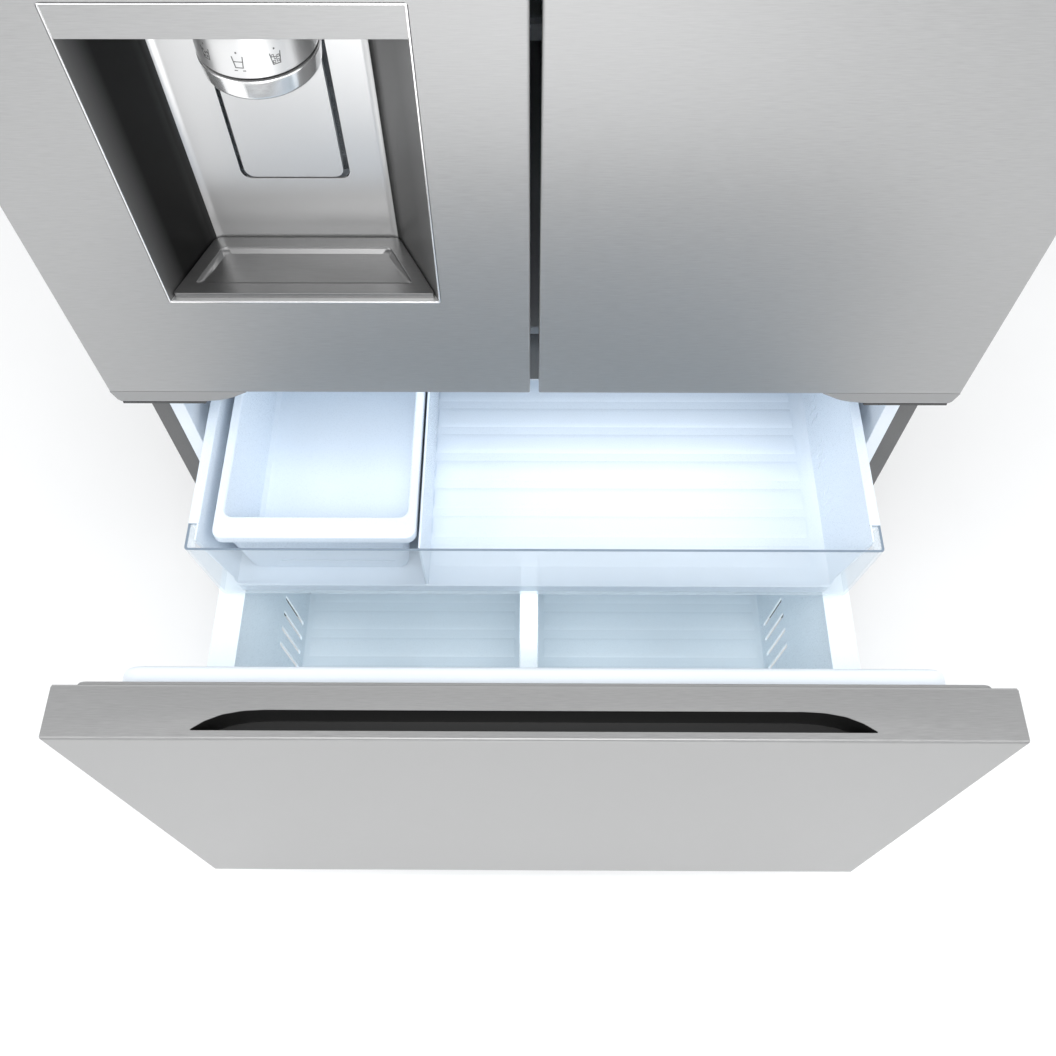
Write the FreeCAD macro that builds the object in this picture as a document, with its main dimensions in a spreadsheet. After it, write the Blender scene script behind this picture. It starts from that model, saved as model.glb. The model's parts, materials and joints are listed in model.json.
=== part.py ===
"""French door refrigerator with a bottom freezer drawer.

Millimetres, +X to the right seen from the front, +Y to the back, +Z up.
The origin is on the floor, under the middle of the whole box with the freezer drawer open.
The freezer drawer and its upper tray are built in their open position, the doors closed.
"""
import FreeCAD, Part
import os
import re

import Sketcher

DIMENSIONS = dict(
    # whole cabinet
    width=908, case_height=1742, case_depth=678,
    side_wall=38, rear_wall=60, roof=50, sheet=1, plastic=2, flange=21,
    base_low=35, base_top=90, engine_depth=230, engine_height=300, engine_foam=35,
    # doors and drawer front
    door_thick=53, gasket_depth=9, gasket_gap=0.3, gasket_inset=14, gasket_width=14,
    door_gap=9, row_gap=22, foot_gap=80, drawer_face=610, door_top_gap=4, edge_round=2,
    floor_rise=34, rail_height=80, rail_drop=58, freezer_drop=60, floor_foam=60,
    # hinges
    hinge_inset=18, hinge_back=30, top_pin=6, low_pin=5, running=0.05,
    bracket=4, screw_head=5, cap_height=17, cap_width=147, cap_flat=97, plate_play=1,
    plate_set=0.5, low_plate_far=98, low_plate_near=8,
    # door linings
    dike_gap=8, dike_depth=28, dike_width=30, dike_middle=44,
    bin_depth=90, bin_height=95, bin_less=45, bin_wall=2.5, bin_lift=2, top_bin_drop=186,
    second_bin=0.3216, third_bin=0.575,
    # folding centre flap
    flap_width=76, flap_thick=20, flap_rise=61, flap_top_gap=15, flap_pivot_in=2, flap_pivot_deep=13.5,
    flap_pin=3, flap_lug=11,
    # dispenser
    disp_far=346, disp_near=89, disp_low=143, disp_high=452, disp_bar=27, disp_deep=80,
    disp_taper_far=34, disp_taper_near=43, disp_wall=2.5, housing=14, housing_deep=98,
    drum_x=213, drum_deep=50, drum_radius=48, drum_low=367, ring_height=19, chute=24,
    paddle_far=264, paddle_near=174, paddle_low=226, paddle_high=372, paddle_thick=5,
    paddle_pin=2.5, paddle_gap=2, drip_height=6,
    ice_rise=73, ice_drop=226, ice_deep=140, ice_far=365, ice_near=80,
    # freezer drawer
    drawer_open=374, dike_half=411, dike_top_gap=3, freezer_dike=36.5, dike_low_gap=10,
    handle_half=316, handle_back_half=260, handle_front=9, handle_rear=29, handle_deep=32,
    basket_half=361, basket_rim=395, basket_drop=17, basket_lift=12, basket_long=345,
    basket_wall=2.5, basket_flare=18, rim_thick=3, divider=23, divider_x=-5, divider_drop=8,
    vent_long=95, vent_high=6, vent_pitch=23, vent_start=174, vent_lift=19,
    # telescopic rails
    rail_thick=4.5, rail_play=0.5, rail_tall=40, rail_set=80, rail_long=400, rail_start=95,
    tray_rail_set=40, tray_rail_long=480, rail_bracket=30, ledge=3,
    # upper tray
    tray_half=400, tray_front=113, tray_long=480, tray_drop=126, tray_tall=115,
    tray_rim=13, tray_wall=2.5, tray_flare=24, window_thick=3, window_return=35,
    slot_wide=3, slot_tall=8, slot_pitch=14, slot_rise=11.5, slot_lift=20,
    ice_bin_side=15, ice_bin_near=136, ice_bin_long=330, ice_bin_set=17,
    ice_bin_rim=9,
    carrier_drop=64, slide_gap=0.3,
    # fresh food compartment
    shelf_front=165, shelf_thick=18, shelf_ring=20, glass_thick=4, duct_half=90, duct_deep=25,
    ladder_deep=6, ladder_wide=16, ladder_lift=244, ladder_drop=92,
    low_shelf=0.444, high_shelf=0.698,
    crisper_tall=205, crisper_wall=2.5, cover_height=222,
    # rolling and standing
    leg_inset=70, leg_radius=5, foot_radius=19, foot_height=12,
    roller_radius=25, roller_width=22, roller_inset=62, roller_back=72, axle=4,
    # cooling
    cover_deep=76, fan_radius=46, fan_deep=14, fan_shaft=3, fan_hole=52, fan_drop=87,
    blower_radius=58, blower_hole=64, inlet_radius=4.8, inlet_play=6, inlet_inset=70, inlet_z=200,
)

LAYOUT = dict(
    half="width/2",
    front="-(door_thick + gasket_depth + case_depth - drawer_open)/2",
    door_back="front + door_thick",
    rim="door_back + gasket_depth",
    back="rim + case_depth",
    inner="half - side_wall",
    drawer_top="foot_gap + drawer_face",
    door_low="drawer_top + row_gap",
    door_high="case_height - door_top_gap",
    rail_bottom="door_low - rail_drop",
    rail_top="rail_bottom + rail_height",
    fridge_floor="door_low + floor_rise",
    fridge_roof="case_height - roof",
    fridge_back="back - rear_wall",
    freezer_roof="door_low - freezer_drop",
    freezer_floor="base_top + floor_foam",
    step_top="engine_height + engine_foam",
    step_back="back - engine_depth - engine_foam",
    hinge_x="half - hinge_inset",
    hinge_y="front + hinge_back",
    face="front - drawer_open",
    tray_y="front - tray_front",
    tray_top="drawer_top - tray_drop",
    tray_bottom="tray_top - tray_tall",
    ice_bin_far="tray_half - tray_rim - ice_bin_side",
    basket_top="tray_bottom - basket_drop",
    basket_bottom="freezer_floor + basket_lift",
    rail_low="basket_top - rail_set",
    carrier_low="tray_top - carrier_drop",
    ladder_low="fridge_floor + ladder_lift",
    ladder_high="fridge_roof - ladder_drop",
    fan_height="freezer_roof - fan_drop",
    flap_low="door_low + flap_rise",
    flap_high="fridge_roof - flap_top_gap",
    flap_x="-(flap_width/2 - flap_pivot_in)",
    flap_y="rim + 0.5 + flap_pivot_deep",
    roller_y="back - roller_back",
    roller_x="half - roller_inset",
    cover_y="fridge_back - cover_deep",
    engine_y="back - engine_depth/2",
    inlet_x="-half + inlet_inset",
    inner_rail_x="basket_half + basket_wall + rail_play",
    middle_rail_x="inner_rail_x + rail_thick + rail_play",
    outer_rail_x="middle_rail_x + rail_thick + rail_play",
    carrier_x="tray_half - tray_rim + tray_wall + 1",
    tray_rail_x="carrier_x + rail_thick + rail_play",
)

doc = FreeCAD.newDocument("refrigerator")
dims = doc.addObject("Spreadsheet::Sheet", "dims")
for row, (alias, value) in enumerate(DIMENSIONS.items(), start=1):
    dims.set(f"A{row}", alias)
    dims.set(f"B{row}", str(value))
    dims.setAlias(f"B{row}", alias)
doc.recompute()

SIDES = {"left": -1, "right": 1}
NODES = []


def resolve(formula):
    """Turn a formula of dimension and layout names into a document expression."""
    def name(match):
        word = match.group(0)
        if word in LAYOUT:
            return "(" + resolve(LAYOUT[word]) + ")"
        return "dims." + word if word in DIMENSIONS else word
    return re.sub(r"[a-z_][a-z_0-9]*", name, str(formula))


def number(formula):
    return float(dims.evalExpression(resolve(formula)))


def bind(target, **formulas):
    for prop, formula in formulas.items():
        target.setExpression(prop.replace("__", "."), resolve(formula))


def place(target, x=0, y=0, z=0):
    bind(target, Placement__Base__x=x, Placement__Base__y=y, Placement__Base__z=z)


def block(name, x, y, z):
    """A box between two limits along each axis."""
    box = doc.addObject("Part::Box", name)
    bind(box, Length=f"({x[1]})-({x[0]})", Width=f"({y[1]})-({y[0]})", Height=f"({z[1]})-({z[0]})")
    place(box, x[0], y[0], z[0])
    return box


TURNS = {"x": (FreeCAD.Vector(0, 1, 0), 90), "y": (FreeCAD.Vector(1, 0, 0), -90),
         "z": (FreeCAD.Vector(0, 0, 1), 0)}


def rod(name, radius, axis, centre, span, top=None):
    """A cylinder, or a cone where a top radius is given, along one axis.

    centre holds the two coordinates across the axis, in X, Y, Z order; span its two ends.
    """
    kind = "Part::Cylinder" if top is None else "Part::Cone"
    piece = doc.addObject(kind, name)
    if top is None:
        bind(piece, Radius=radius)
    else:
        bind(piece, Radius1=radius, Radius2=top)
    bind(piece, Height=f"({span[1]})-({span[0]})")
    piece.Placement.Rotation = FreeCAD.Rotation(*TURNS[axis])
    place(piece, *{"x": (span[0], *centre), "y": (centre[0], span[0], centre[1]),
                   "z": (*centre, span[0])}[axis])
    return piece


def fuse(name, *shapes):
    union = doc.addObject("Part::MultiFuse", name)
    union.Shapes = list(shapes)
    union.Refine = True
    return union


def group(name, shapes):
    """Separate solids that belong to one node."""
    bundle = doc.addObject("Part::Compound", name)
    bundle.Links = list(shapes)
    return bundle


def cut(name, base, *tools):
    cutter = tools[0] if len(tools) == 1 else fuse(name + "_cutter", *tools)
    result = doc.addObject("Part::Cut", name)
    result.Base, result.Tool = base, cutter
    return result


def prism(name, plane, points, low, high):
    """A straight-sided solid over a polygon; its points name two coordinates in the given plane."""
    low, high = number(low), number(high)
    lift = {"xy": lambda a, b: (a, b, low), "xz": lambda a, b: (a, low, b), "yz": lambda a,
            b: (low, a, b)}[plane]
    corners = [FreeCAD.Vector(*lift(number(a), number(b))) for a, b in points]
    way = {"xy": (0, 0, 1), "xz": (0, 1, 0), "yz": (1, 0, 0)}[plane]
    solid = Part.Face(Part.makePolygon(corners + corners[:1])).extrude(FreeCAD.Vector(*way) * (high - low))
    feature = doc.addObject("Part::Feature", name)
    feature.Shape = solid
    return feature


def rounded(name, base, radius, chosen):
    """Round the edges of a solid that the test picks out."""
    doc.recompute()
    fillet = doc.addObject("Part::Fillet", name)
    fillet.Base = base
    size = number(radius)
    fillet.Edges = [(i, size, size) for i, edge in enumerate(base.Shape.Edges, start=1) if chosen(edge)]
    return fillet


def node(label, target):
    """Name a finished sub-part after its file."""
    target.Label = label
    NODES.append(target)
    return target


def across(side, near, far):
    """The x limits of a piece between two distances from the middle plane."""
    return (near, far) if side > 0 else (f"-({far})", f"-({near})")


def both(limit):
    return f"-({limit})", limit


def ring(name, x, y, z, width):
    """A rectangular frame in the x-z plane."""
    outer = block(name + "_outer", x, y, z)
    hole = block(name + "_hole", (f"{x[0]} + {width}", f"{x[1]} - ({width})"),
                 (f"{y[0]} - 1", f"{y[1]} + 1"), (f"{z[0]} + {width}", f"{z[1]} - ({width})"))
    return cut(name, outer, hole)


def tub(name, x, y, z, wall):
    """An open-topped box."""
    outer = block(name + "_outer", x, y, z)
    hollow = block(name + "_hollow", (f"{x[0]} + {wall}", f"{x[1]} - {wall}"),
                   (f"{y[0]} + {wall}", f"{y[1]} - {wall}"), (f"{z[0]} + {wall}", f"{z[1]} + 1"))
    return cut(name, outer, hollow)


def sketched_plate(label, x, z, y_low, thickness, slot, rows, columns):
    """An upright sheet with a grid of slots, drawn as a sketch, a pad and a patterned pocket."""
    body = doc.addObject("PartDesign::Body", label + "_body")
    upright = next(f for f in body.Origin.OriginFeatures if f.Role == "XZ_Plane")

    def rectangle(name, corner, size):
        sketch = body.newObject("Sketcher::SketchObject", name)
        sketch.AttachmentSupport = (upright, [""])
        sketch.MapMode = "FlatFace"
        spots = [FreeCAD.Vector(*p, 0) for p in ((1, 1), (3, 1), (3, 2), (1, 2))]
        for start, end in zip(spots, spots[1:] + spots[:1]):
            sketch.addGeometry(Part.LineSegment(start, end), False)
        for line in range(4):
            sketch.addConstraint(Sketcher.Constraint("Coincident", line, 2, (line + 1) % 4, 1))
            sketch.addConstraint(Sketcher.Constraint("Vertical" if line % 2 else "Horizontal", line))
        for kind, at, text, formula in (("DistanceX", (0, 1, 0, 2), "wide", size[0]),
                                        ("DistanceY", (1, 1, 1, 2), "tall", size[1]),
                                        ("DistanceX", (-1, 1, 0, 1), "from_x", corner[0]),
                                        ("DistanceY", (-1, 1, 0, 1), "from_z", corner[1])):
            index = sketch.addConstraint(Sketcher.Constraint(kind, *at, 1.0))
            sketch.renameConstraint(index, text)
            bind(sketch, **{f"Constraints__{text}": formula})
        bind(sketch, AttachmentOffset__Base__z=f"-({y_low})")
        return sketch

    pad = body.newObject("PartDesign::Pad", label + "_pad")
    pad.Profile = rectangle(label + "_outline", (x[0], z[0]), (f"({x[1]})-({x[0]})", f"({z[1]})-({z[0]})"))
    bind(pad, Length=thickness)
    pad.Reversed = True
    pocket = body.newObject("PartDesign::Pocket", label + "_slot")
    pocket.Profile = rectangle(label + "_slot_outline", (slot["x"], slot["z"]), (slot["wide"], slot["tall"]))
    pocket.Type = "ThroughAll"
    pocket.Midplane = True
    pattern = body.newObject("PartDesign::MultiTransform", label + "_slots")
    pattern.Originals = [pocket]
    steps = []
    for way, axis, count, pitch in (("across", "H_Axis", columns, slot["pitch_x"]),
                                    ("up", "V_Axis", rows, slot["pitch_z"])):
        step = body.newObject("PartDesign::LinearPattern", f"{label}_{way}")
        step.Direction = (pocket.Profile[0], [axis])
        step.Occurrences = count
        bind(step, Length=f"({pitch})*{count - 1}")
        steps.append(step)
    pattern.Transformations = steps
    body.Tip = pattern
    return body


def fan(name, axis, centre, span, hub, tip, blades=5):
    """A bored hub with pitched blades; the blades are set in code from the same sizes."""
    low, high = number(span[0]), number(span[1])
    a, b = number(centre[0]), number(centre[1])
    hub_radius, tip_radius, bore = number(hub), number(tip), number("fan_shaft + running")
    shape = Part.makeCylinder(hub_radius, high - low)
    blade_angle, blade_sheet, root = 32, 1.6, hub_radius - 2
    for turn in range(blades):
        blade = Part.makeBox(tip_radius - root, high - low - 1, blade_sheet)
        blade.translate(FreeCAD.Vector(root, -(high - low - 1) / 2, -blade_sheet / 2))
        blade.rotate(FreeCAD.Vector(), FreeCAD.Vector(1, 0, 0), blade_angle)
        blade.translate(FreeCAD.Vector(0, 0, (high - low) / 2))
        blade.rotate(FreeCAD.Vector(), FreeCAD.Vector(0, 0, 1), 360 * turn / blades)
        shape = shape.fuse(blade)
    shape = shape.cut(Part.makeCylinder(bore, high - low - 3, FreeCAD.Vector(0, 0, 0)))
    feature = doc.addObject("Part::Feature", name)
    feature.Shape = shape
    base = {"x": (low, a, b), "y": (a, low, b)}[axis]
    feature.Placement = FreeCAD.Placement(FreeCAD.Vector(*base), FreeCAD.Rotation(*TURNS[axis]))
    return feature


def finned_coil(name, x, y, z, fins, rows, tube):
    """Upright fins on rows of tubes that run across them."""
    pieces = []
    for i in range(fins):
        at = f"{x[0]} + (({x[1]})-({x[0]})-1)*{i}/{fins - 1}"
        pieces.append(block(f"{name}_fin_{i}", (at, f"{at} + 1"), y, z))
    for i in range(rows):
        height = f"{z[0]} + (({z[1]})-({z[0]}))*{2 * i + 1}/{2 * rows}"
        middle = f"(({y[0]})+({y[1]}))/2"
        pieces.append(rod(f"{name}_tube_{i}", tube, "x", (middle, height), (f"{x[0]} - 12", f"{x[1]} + 12")))
    return fuse(name, *pieces)


def build_case():
    shell = block("wrapper_block", both("half"), ("rim", "back - sheet"), ("base_low", "case_height"))
    hollow = block("wrapper_hollow", both("half - sheet"), ("rim + sheet", "back + 1"),
                   ("base_low - 1", "case_height - sheet"))
    mouth = block("wrapper_mouth", both("half - flange"), ("rim - 1", "rim + 2*sheet"),
                  ("base_low - 1", "case_height - flange"))
    node("outer_wrapper", cut("wrapper", shell, hollow, mouth))
    node("back_panel", block("back_sheet", both("half"), ("back - sheet", "back"),
                             ("engine_height", "case_height")))
    slot = dict(x="-half + 60", z="engine_height - 110", wide="70", tall="7", pitch_x="90", pitch_z="16")
    sheet = sketched_plate("service_sheet", both("half"), ("base_low", "engine_height"), "back - sheet",
                           "sheet",
                           slot, 6, 9)
    inlet = rod("inlet_hole", "inlet_radius + inlet_play", "y", ("inlet_x", "inlet_z"),
                ("back - 2*sheet", "back + 1"))
    node("service_cover", cut("service_cover_bored", sheet, inlet))
    rail = block("rail_block", both("half - flange"), ("rim", "rim + 14"), ("rail_bottom", "rail_top"))
    rail_hollow = block("rail_hollow", both("half - flange + 1"), ("rim + 1.5", "rim + 15"),
                        ("rail_bottom + 1.5", "rail_top - 1.5"))
    node("centre_rail", cut("rail", rail, rail_hollow))
    slot = dict(x="-half + flange + 45", z="22", wide="44", tall="5", pitch_x="60", pitch_z="11")
    node("toe_grille", sketched_plate("toe_grille", both("half - flange - 1"), ("15", "foot_gap - 12"),
                                      "rim - 14", "14 + sheet", slot, 4, 13))


def build_base():
    """A downturned pan under the freezer and an open tray under the compressor."""
    wall = 1.5
    split = "back - engine_depth"
    pan = block("pan_block", both("half - sheet"), ("rim + sheet", "back - sheet"), ("base_low", "base_top"))
    under = block("pan_under", both(f"half - sheet - {wall}"), (f"rim + sheet + {wall}", split),
                  ("base_low - 1", f"base_top - {wall}"))
    over = block("pan_over", both(f"half - sheet - {wall}"), (f"{split} + {wall}", f"back - sheet - {wall}"),
                 ("base_low + 20", "base_top + 1"))
    below = block("pan_below", both(f"half - sheet - {wall}"),
                  (f"{split} + {wall}", f"back - sheet - {wall}"),
                  ("base_low - 1", f"base_low + 20 - {wall}"))
    extras, bores = [], []
    for word, side in SIDES.items():
        leg_x = f"{side}*(half - leg_inset)"
        extras.append(rod(f"leg_boss_{word}", "14", "z", (leg_x, "rim + leg_inset"),
                          ("base_low", f"base_top - {wall}")))
        bores.append(rod(f"leg_bore_{word}", "leg_radius + running", "z", (leg_x, "rim + leg_inset"),
                         ("base_low - 1", f"base_top - {wall}")))
        for ear, near in enumerate(("-4", "1 + roller_width")):
            x = across(side, f"roller_x - roller_width/2 + {near}", f"roller_x - roller_width/2 + {near} + 3")
            extras.append(block(f"roller_ear_{word}_{ear}", x, ("roller_y - 14", "roller_y + 14"),
                                ("roller_radius - 12", "base_low + 20")))
        bores.append(rod(f"axle_bore_{word}", "axle + running", "x", ("roller_y", "roller_radius"),
                         across(side, "roller_x - roller_width - 8", "roller_x + roller_width + 8")))
        bores.append(block(f"roller_well_{word}",
                           across(side, "roller_x - roller_width/2 - 1", "roller_x + roller_width/2 + 1"),
                           ("roller_y - roller_radius - 3", "roller_y + roller_radius + 3"),
                           ("base_low - 2", "base_low + 19")))
        node(f"rear_roller_{word}", fuse(
            f"roller_{word}",
            rod(f"roller_wheel_{word}", "roller_radius", "x", ("roller_y", "roller_radius"),
                across(side, "roller_x - roller_width/2", "roller_x + roller_width/2")),
            rod(f"roller_axle_{word}", "axle", "x", ("roller_y", "roller_radius"),
                across(side, "roller_x - roller_width/2 - 5", "roller_x + roller_width/2 + 5"))))
        node(f"levelling_leg_{word}", fuse(
            f"leg_{word}",
            rod(f"leg_stud_{word}", "leg_radius", "z", (leg_x, "rim + leg_inset"),
                ("foot_height - 1", "base_top - 12")),
            rod(f"leg_foot_{word}", "foot_radius", "z", (leg_x, "rim + leg_inset"), ("0", "foot_height"))))
    node("base_frame", cut("base", fuse("base_solid", cut("base_pan", pan, under, over, below), *extras),
                           *bores))


def build_linings():
    """The two moulded compartments and the foam round them."""
    wide = both("inner + plastic")
    fridge = block("fridge_block", wide, ("rim", "fridge_back + plastic"),
                   ("fridge_floor - plastic", "fridge_roof + plastic"))
    fridge_lip = block("fridge_lip", both("half - flange"), ("rim", "rim + plastic"),
                       ("rail_top", "case_height - flange"))
    fridge_room = block("fridge_room", both("inner"), ("rim - 1", "fridge_back"),
                        ("fridge_floor", "fridge_roof"))
    fridge_solid = fuse("fridge_solid", fridge, fridge_lip)
    node("fridge_liner", cut("fridge", fridge_solid, fridge_room))
    upper = block("freezer_upper", wide, ("rim", "fridge_back + plastic"),
                  ("step_top - plastic", "freezer_roof + plastic"))
    lower = block("freezer_lower", wide, ("rim", "step_back + plastic"),
                  ("freezer_floor - plastic", "freezer_roof + plastic"))
    lip = block("freezer_lip", both("half - flange"), ("rim", "rim + plastic"), ("base_top", "rail_bottom"))
    upper_room = block("freezer_upper_room", both("inner"), ("rim - 1", "fridge_back"),
                       ("step_top", "freezer_roof"))
    lower_room = block("freezer_lower_room", both("inner"), ("rim - 1", "step_back"),
                       ("freezer_floor", "freezer_roof"))
    freezer_solid = fuse("freezer_solid", upper, lower, lip)
    node("freezer_liner", cut("freezer", freezer_solid, upper_room, lower_room))
    foam = block("foam_block", both("half - sheet"), ("rim + sheet", "back - sheet"),
                 ("base_top", "case_height - sheet"))
    engine = block("foam_engine", both("half"), ("back - engine_depth", "back"),
                   ("base_top - 1", "engine_height"))
    channel = block("foam_channel", both("half - flange"), ("rim", "rim + 14"), ("rail_bottom", "rail_top"))
    node("insulation", cut("foam", foam, engine, channel, fridge_solid, freezer_solid))


def build_hinges():
    brackets, covers, low = [], [], []
    for word, side in SIDES.items():
        axis = (f"{side}*hinge_x", "hinge_y")
        plate = block(f"top_plate_{word}", across(side, "half - 90", "half - 6"),
                      ("hinge_y - 12", "rim + 90"),
                      ("case_height", "case_height + bracket"))
        pin = rod(f"top_pin_{word}", "top_pin", "z", axis, ("door_high - 24", "case_height + 1"))
        heads = [rod(f"top_screw_{word}_{i}", "screw_head", "z",
                     (f"{side}*(half - {inset})", f"rim + {deep}"), ("case_height + bracket - 1",
                                                                     "case_height + bracket + 3"))
                 for i, (inset, deep) in enumerate(((30, 30), (66, 30), (48, 72)))]
        brackets.append(fuse(f"top_hinge_{word}", plate, pin, *heads))
        x = across(side, "half - 100", "half - 3")
        hood = block(f"hood_{word}", x, ("front + 6", "rim + 110"), ("case_height", "case_height + 30"))
        hood = rounded(f"hood_round_{word}", hood, "8",
                       lambda edge: edge.CenterOfMass.z > number("case_height + 14"))
        inside = block(f"hood_inside_{word}", (f"{x[0]} + 2.5", f"{x[1]} - 2.5"),
                       ("front + 8.5", "rim + 107.5"),
                       ("case_height - 1", "case_height + 22"))
        covers.append(cut(f"hinge_cover_{word}", hood, inside))
        shelf_top = "door_low - cap_height - plate_play"
        shelf = block(f"low_plate_{word}", across(side, "half - low_plate_far", "half - low_plate_near"),
                      ("front + plate_set", "rim"),
                      (f"{shelf_top} - ledge", shelf_top))
        upright = block(f"low_upright_{word}", across(side, "half - 82", "half - flange"), ("rim - 3", "rim"),
                        ("drawer_top - gasket_inset + 2", shelf_top))
        peg = rod(f"low_pin_{word}", "low_pin", "z", axis, (f"{shelf_top} - 1", "door_low - 2"))
        low.append(fuse(f"middle_hinge_{word}", shelf, upright, peg))
    node("top_hinges", group("top_hinge_pair", brackets))
    node("hinge_covers", group("hinge_cover_pair", covers))
    node("middle_hinges", group("middle_hinge_pair", low))


def build_fresh_food():
    """Shelves on ladders, crisper drawers, air duct, lamp and water filter."""
    ladders, frames, glass = [], [], []
    ladder_y = ("fridge_back - ladder_deep", "fridge_back")
    for word, side in SIDES.items():
        for i, at in enumerate(("120", "inner - 46")):
            strip = block(f"ladder_{word}_{i}", across(side, at, f"{at} + ladder_wide"), ladder_y,
                          ("ladder_low", "ladder_high"))
            slots = [block(f"ladder_slot_{word}_{i}_{n}", across(side, f"{at} + 6", f"{at} + 10"),
                           ("fridge_back - ladder_deep - 1", "fridge_back - 2"),
                           (f"ladder_low + 15 + {40 * n}", f"ladder_low + 27 + {40 * n}")) for n in range(15)]
            ladders.append(cut(f"ladder_cut_{word}_{i}", strip, *slots))
        for level, share in enumerate(("low_shelf", "high_shelf")):
            height = f"fridge_floor + {share}*(fridge_roof - fridge_floor)"
            x = across(side, "6", "inner - 6")
            y = ("rim + shelf_front", "fridge_back - duct_deep - 3")
            frames.append(shelf_frame(f"shelf_{word}_{level}", side, x, y, height, glass))
    x, y = both("inner - 0.5"), ("rim + shelf_front", "fridge_back - 0.5")
    frames.append(shelf_frame("crisper_cover", 0, x, y, "fridge_floor + cover_height", glass))
    node("shelf_ladders", group("ladders", ladders))
    node("shelf_frames", group("frames", frames))
    node("shelf_glass", group("glass", glass))
    for word, side in SIDES.items():
        box = tub(f"crisper_{word}_tub", across(side, "6", "inner - 8"),
                  ("rim + shelf_front + 4", "fridge_back - 60"),
                  ("fridge_floor + 0.3", "fridge_floor + crisper_tall"), "crisper_wall")
        grip = block(f"crisper_{word}_grip", across(side, "100", "inner - 102"),
                     ("rim + shelf_front - 14", "rim + shelf_front + 5"),
                     ("fridge_floor + crisper_tall - 24", "fridge_floor + crisper_tall"))
        scoop = block(f"crisper_{word}_scoop", across(side, "103", "inner - 105"),
                      ("rim + shelf_front - 11", "rim + shelf_front + 4"),
                      ("fridge_floor + crisper_tall - 25", "fridge_floor + crisper_tall - 3"))
        node(f"crisper_{word}", fuse(f"crisper_{word}_whole", box, cut(f"crisper_{word}_pull", grip, scoop)))
    duct = block("duct_block", both("duct_half"), ("fridge_back - duct_deep", "fridge_back"),
                 ("fridge_floor + 260", "fridge_roof - 60"))
    duct_inside = block("duct_inside", both("duct_half - plastic"),
                        ("fridge_back - duct_deep + plastic", "fridge_back + 1"),
                        ("fridge_floor + 260 + plastic", "fridge_roof - 60 - plastic"))
    vents = [block(f"duct_vent_{i}", both("55"),
                   ("fridge_back - duct_deep - 1", "fridge_back - duct_deep + 5"),
                   (f"fridge_floor + {300 + 110 * i}", f"fridge_floor + {310 + 110 * i}")) for i in range(5)]
    node("air_duct", cut("duct", duct, duct_inside, *vents))
    node("lamp_cover", rounded("lamp", block("lamp_block", both("120"), ("rim + 200", "rim + 280"),
                                              ("fridge_roof - 12", "fridge_roof")), "4",
                               lambda edge: edge.CenterOfMass.z < number("fridge_roof - 4")))
    node("water_filter", fuse(
        "filter",
        rod("filter_tube", "27", "y", ("inner - 70", "fridge_roof - 34"),
            ("fridge_back - 290", "fridge_back - 50")),
        rod("filter_cap", "30", "y", ("inner - 70", "fridge_roof - 34"),
            ("fridge_back - 310", "fridge_back - 288")),
        block("filter_head", ("inner - 105", "inner - 35"), ("fridge_back - 60", "fridge_back"),
              ("fridge_roof - 68", "fridge_roof"))))


def shelf_frame(name, side, x, y, height, glass):
    """A moulded ring with a rebate for its pane, and arms back to the ladders."""
    top = f"{height} + shelf_thick"
    outer = block(f"{name}_outer", x, y, (height, top))
    hole = block(f"{name}_hole", (f"{x[0]} + shelf_ring", f"{x[1]} - shelf_ring"),
                 (f"{y[0]} + shelf_ring", f"{y[1]} - shelf_ring"), (f"{height} - 1", f"{top} + 1"))
    rebate = block(f"{name}_rebate", (f"{x[0]} + 10", f"{x[1]} - 10"), (f"{y[0]} + 10", f"{y[1]} - 10"),
                   (f"{top} - glass_thick", f"{top} + 1"))
    glass.append(block(f"{name}_pane", (f"{x[0]} + 10.5", f"{x[1]} - 10.5"),
                       (f"{y[0]} + 10.5", f"{y[1]} - 10.5"),
                       (f"{top} - glass_thick", top)))
    frame = cut(f"{name}_ring", outer, hole, rebate)
    if not side:
        return frame
    arms = [block(f"{name}_arm_{i}", across(side, f"{at} + 4", f"{at} + 12"),
                  (f"{y[1]} - 30", "fridge_back - ladder_deep"), (f"{height} - 30", f"{top} - glass_thick"))
            for i, at in enumerate(("120", "inner - 46"))]
    return fuse(name, frame, *arms)


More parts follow.
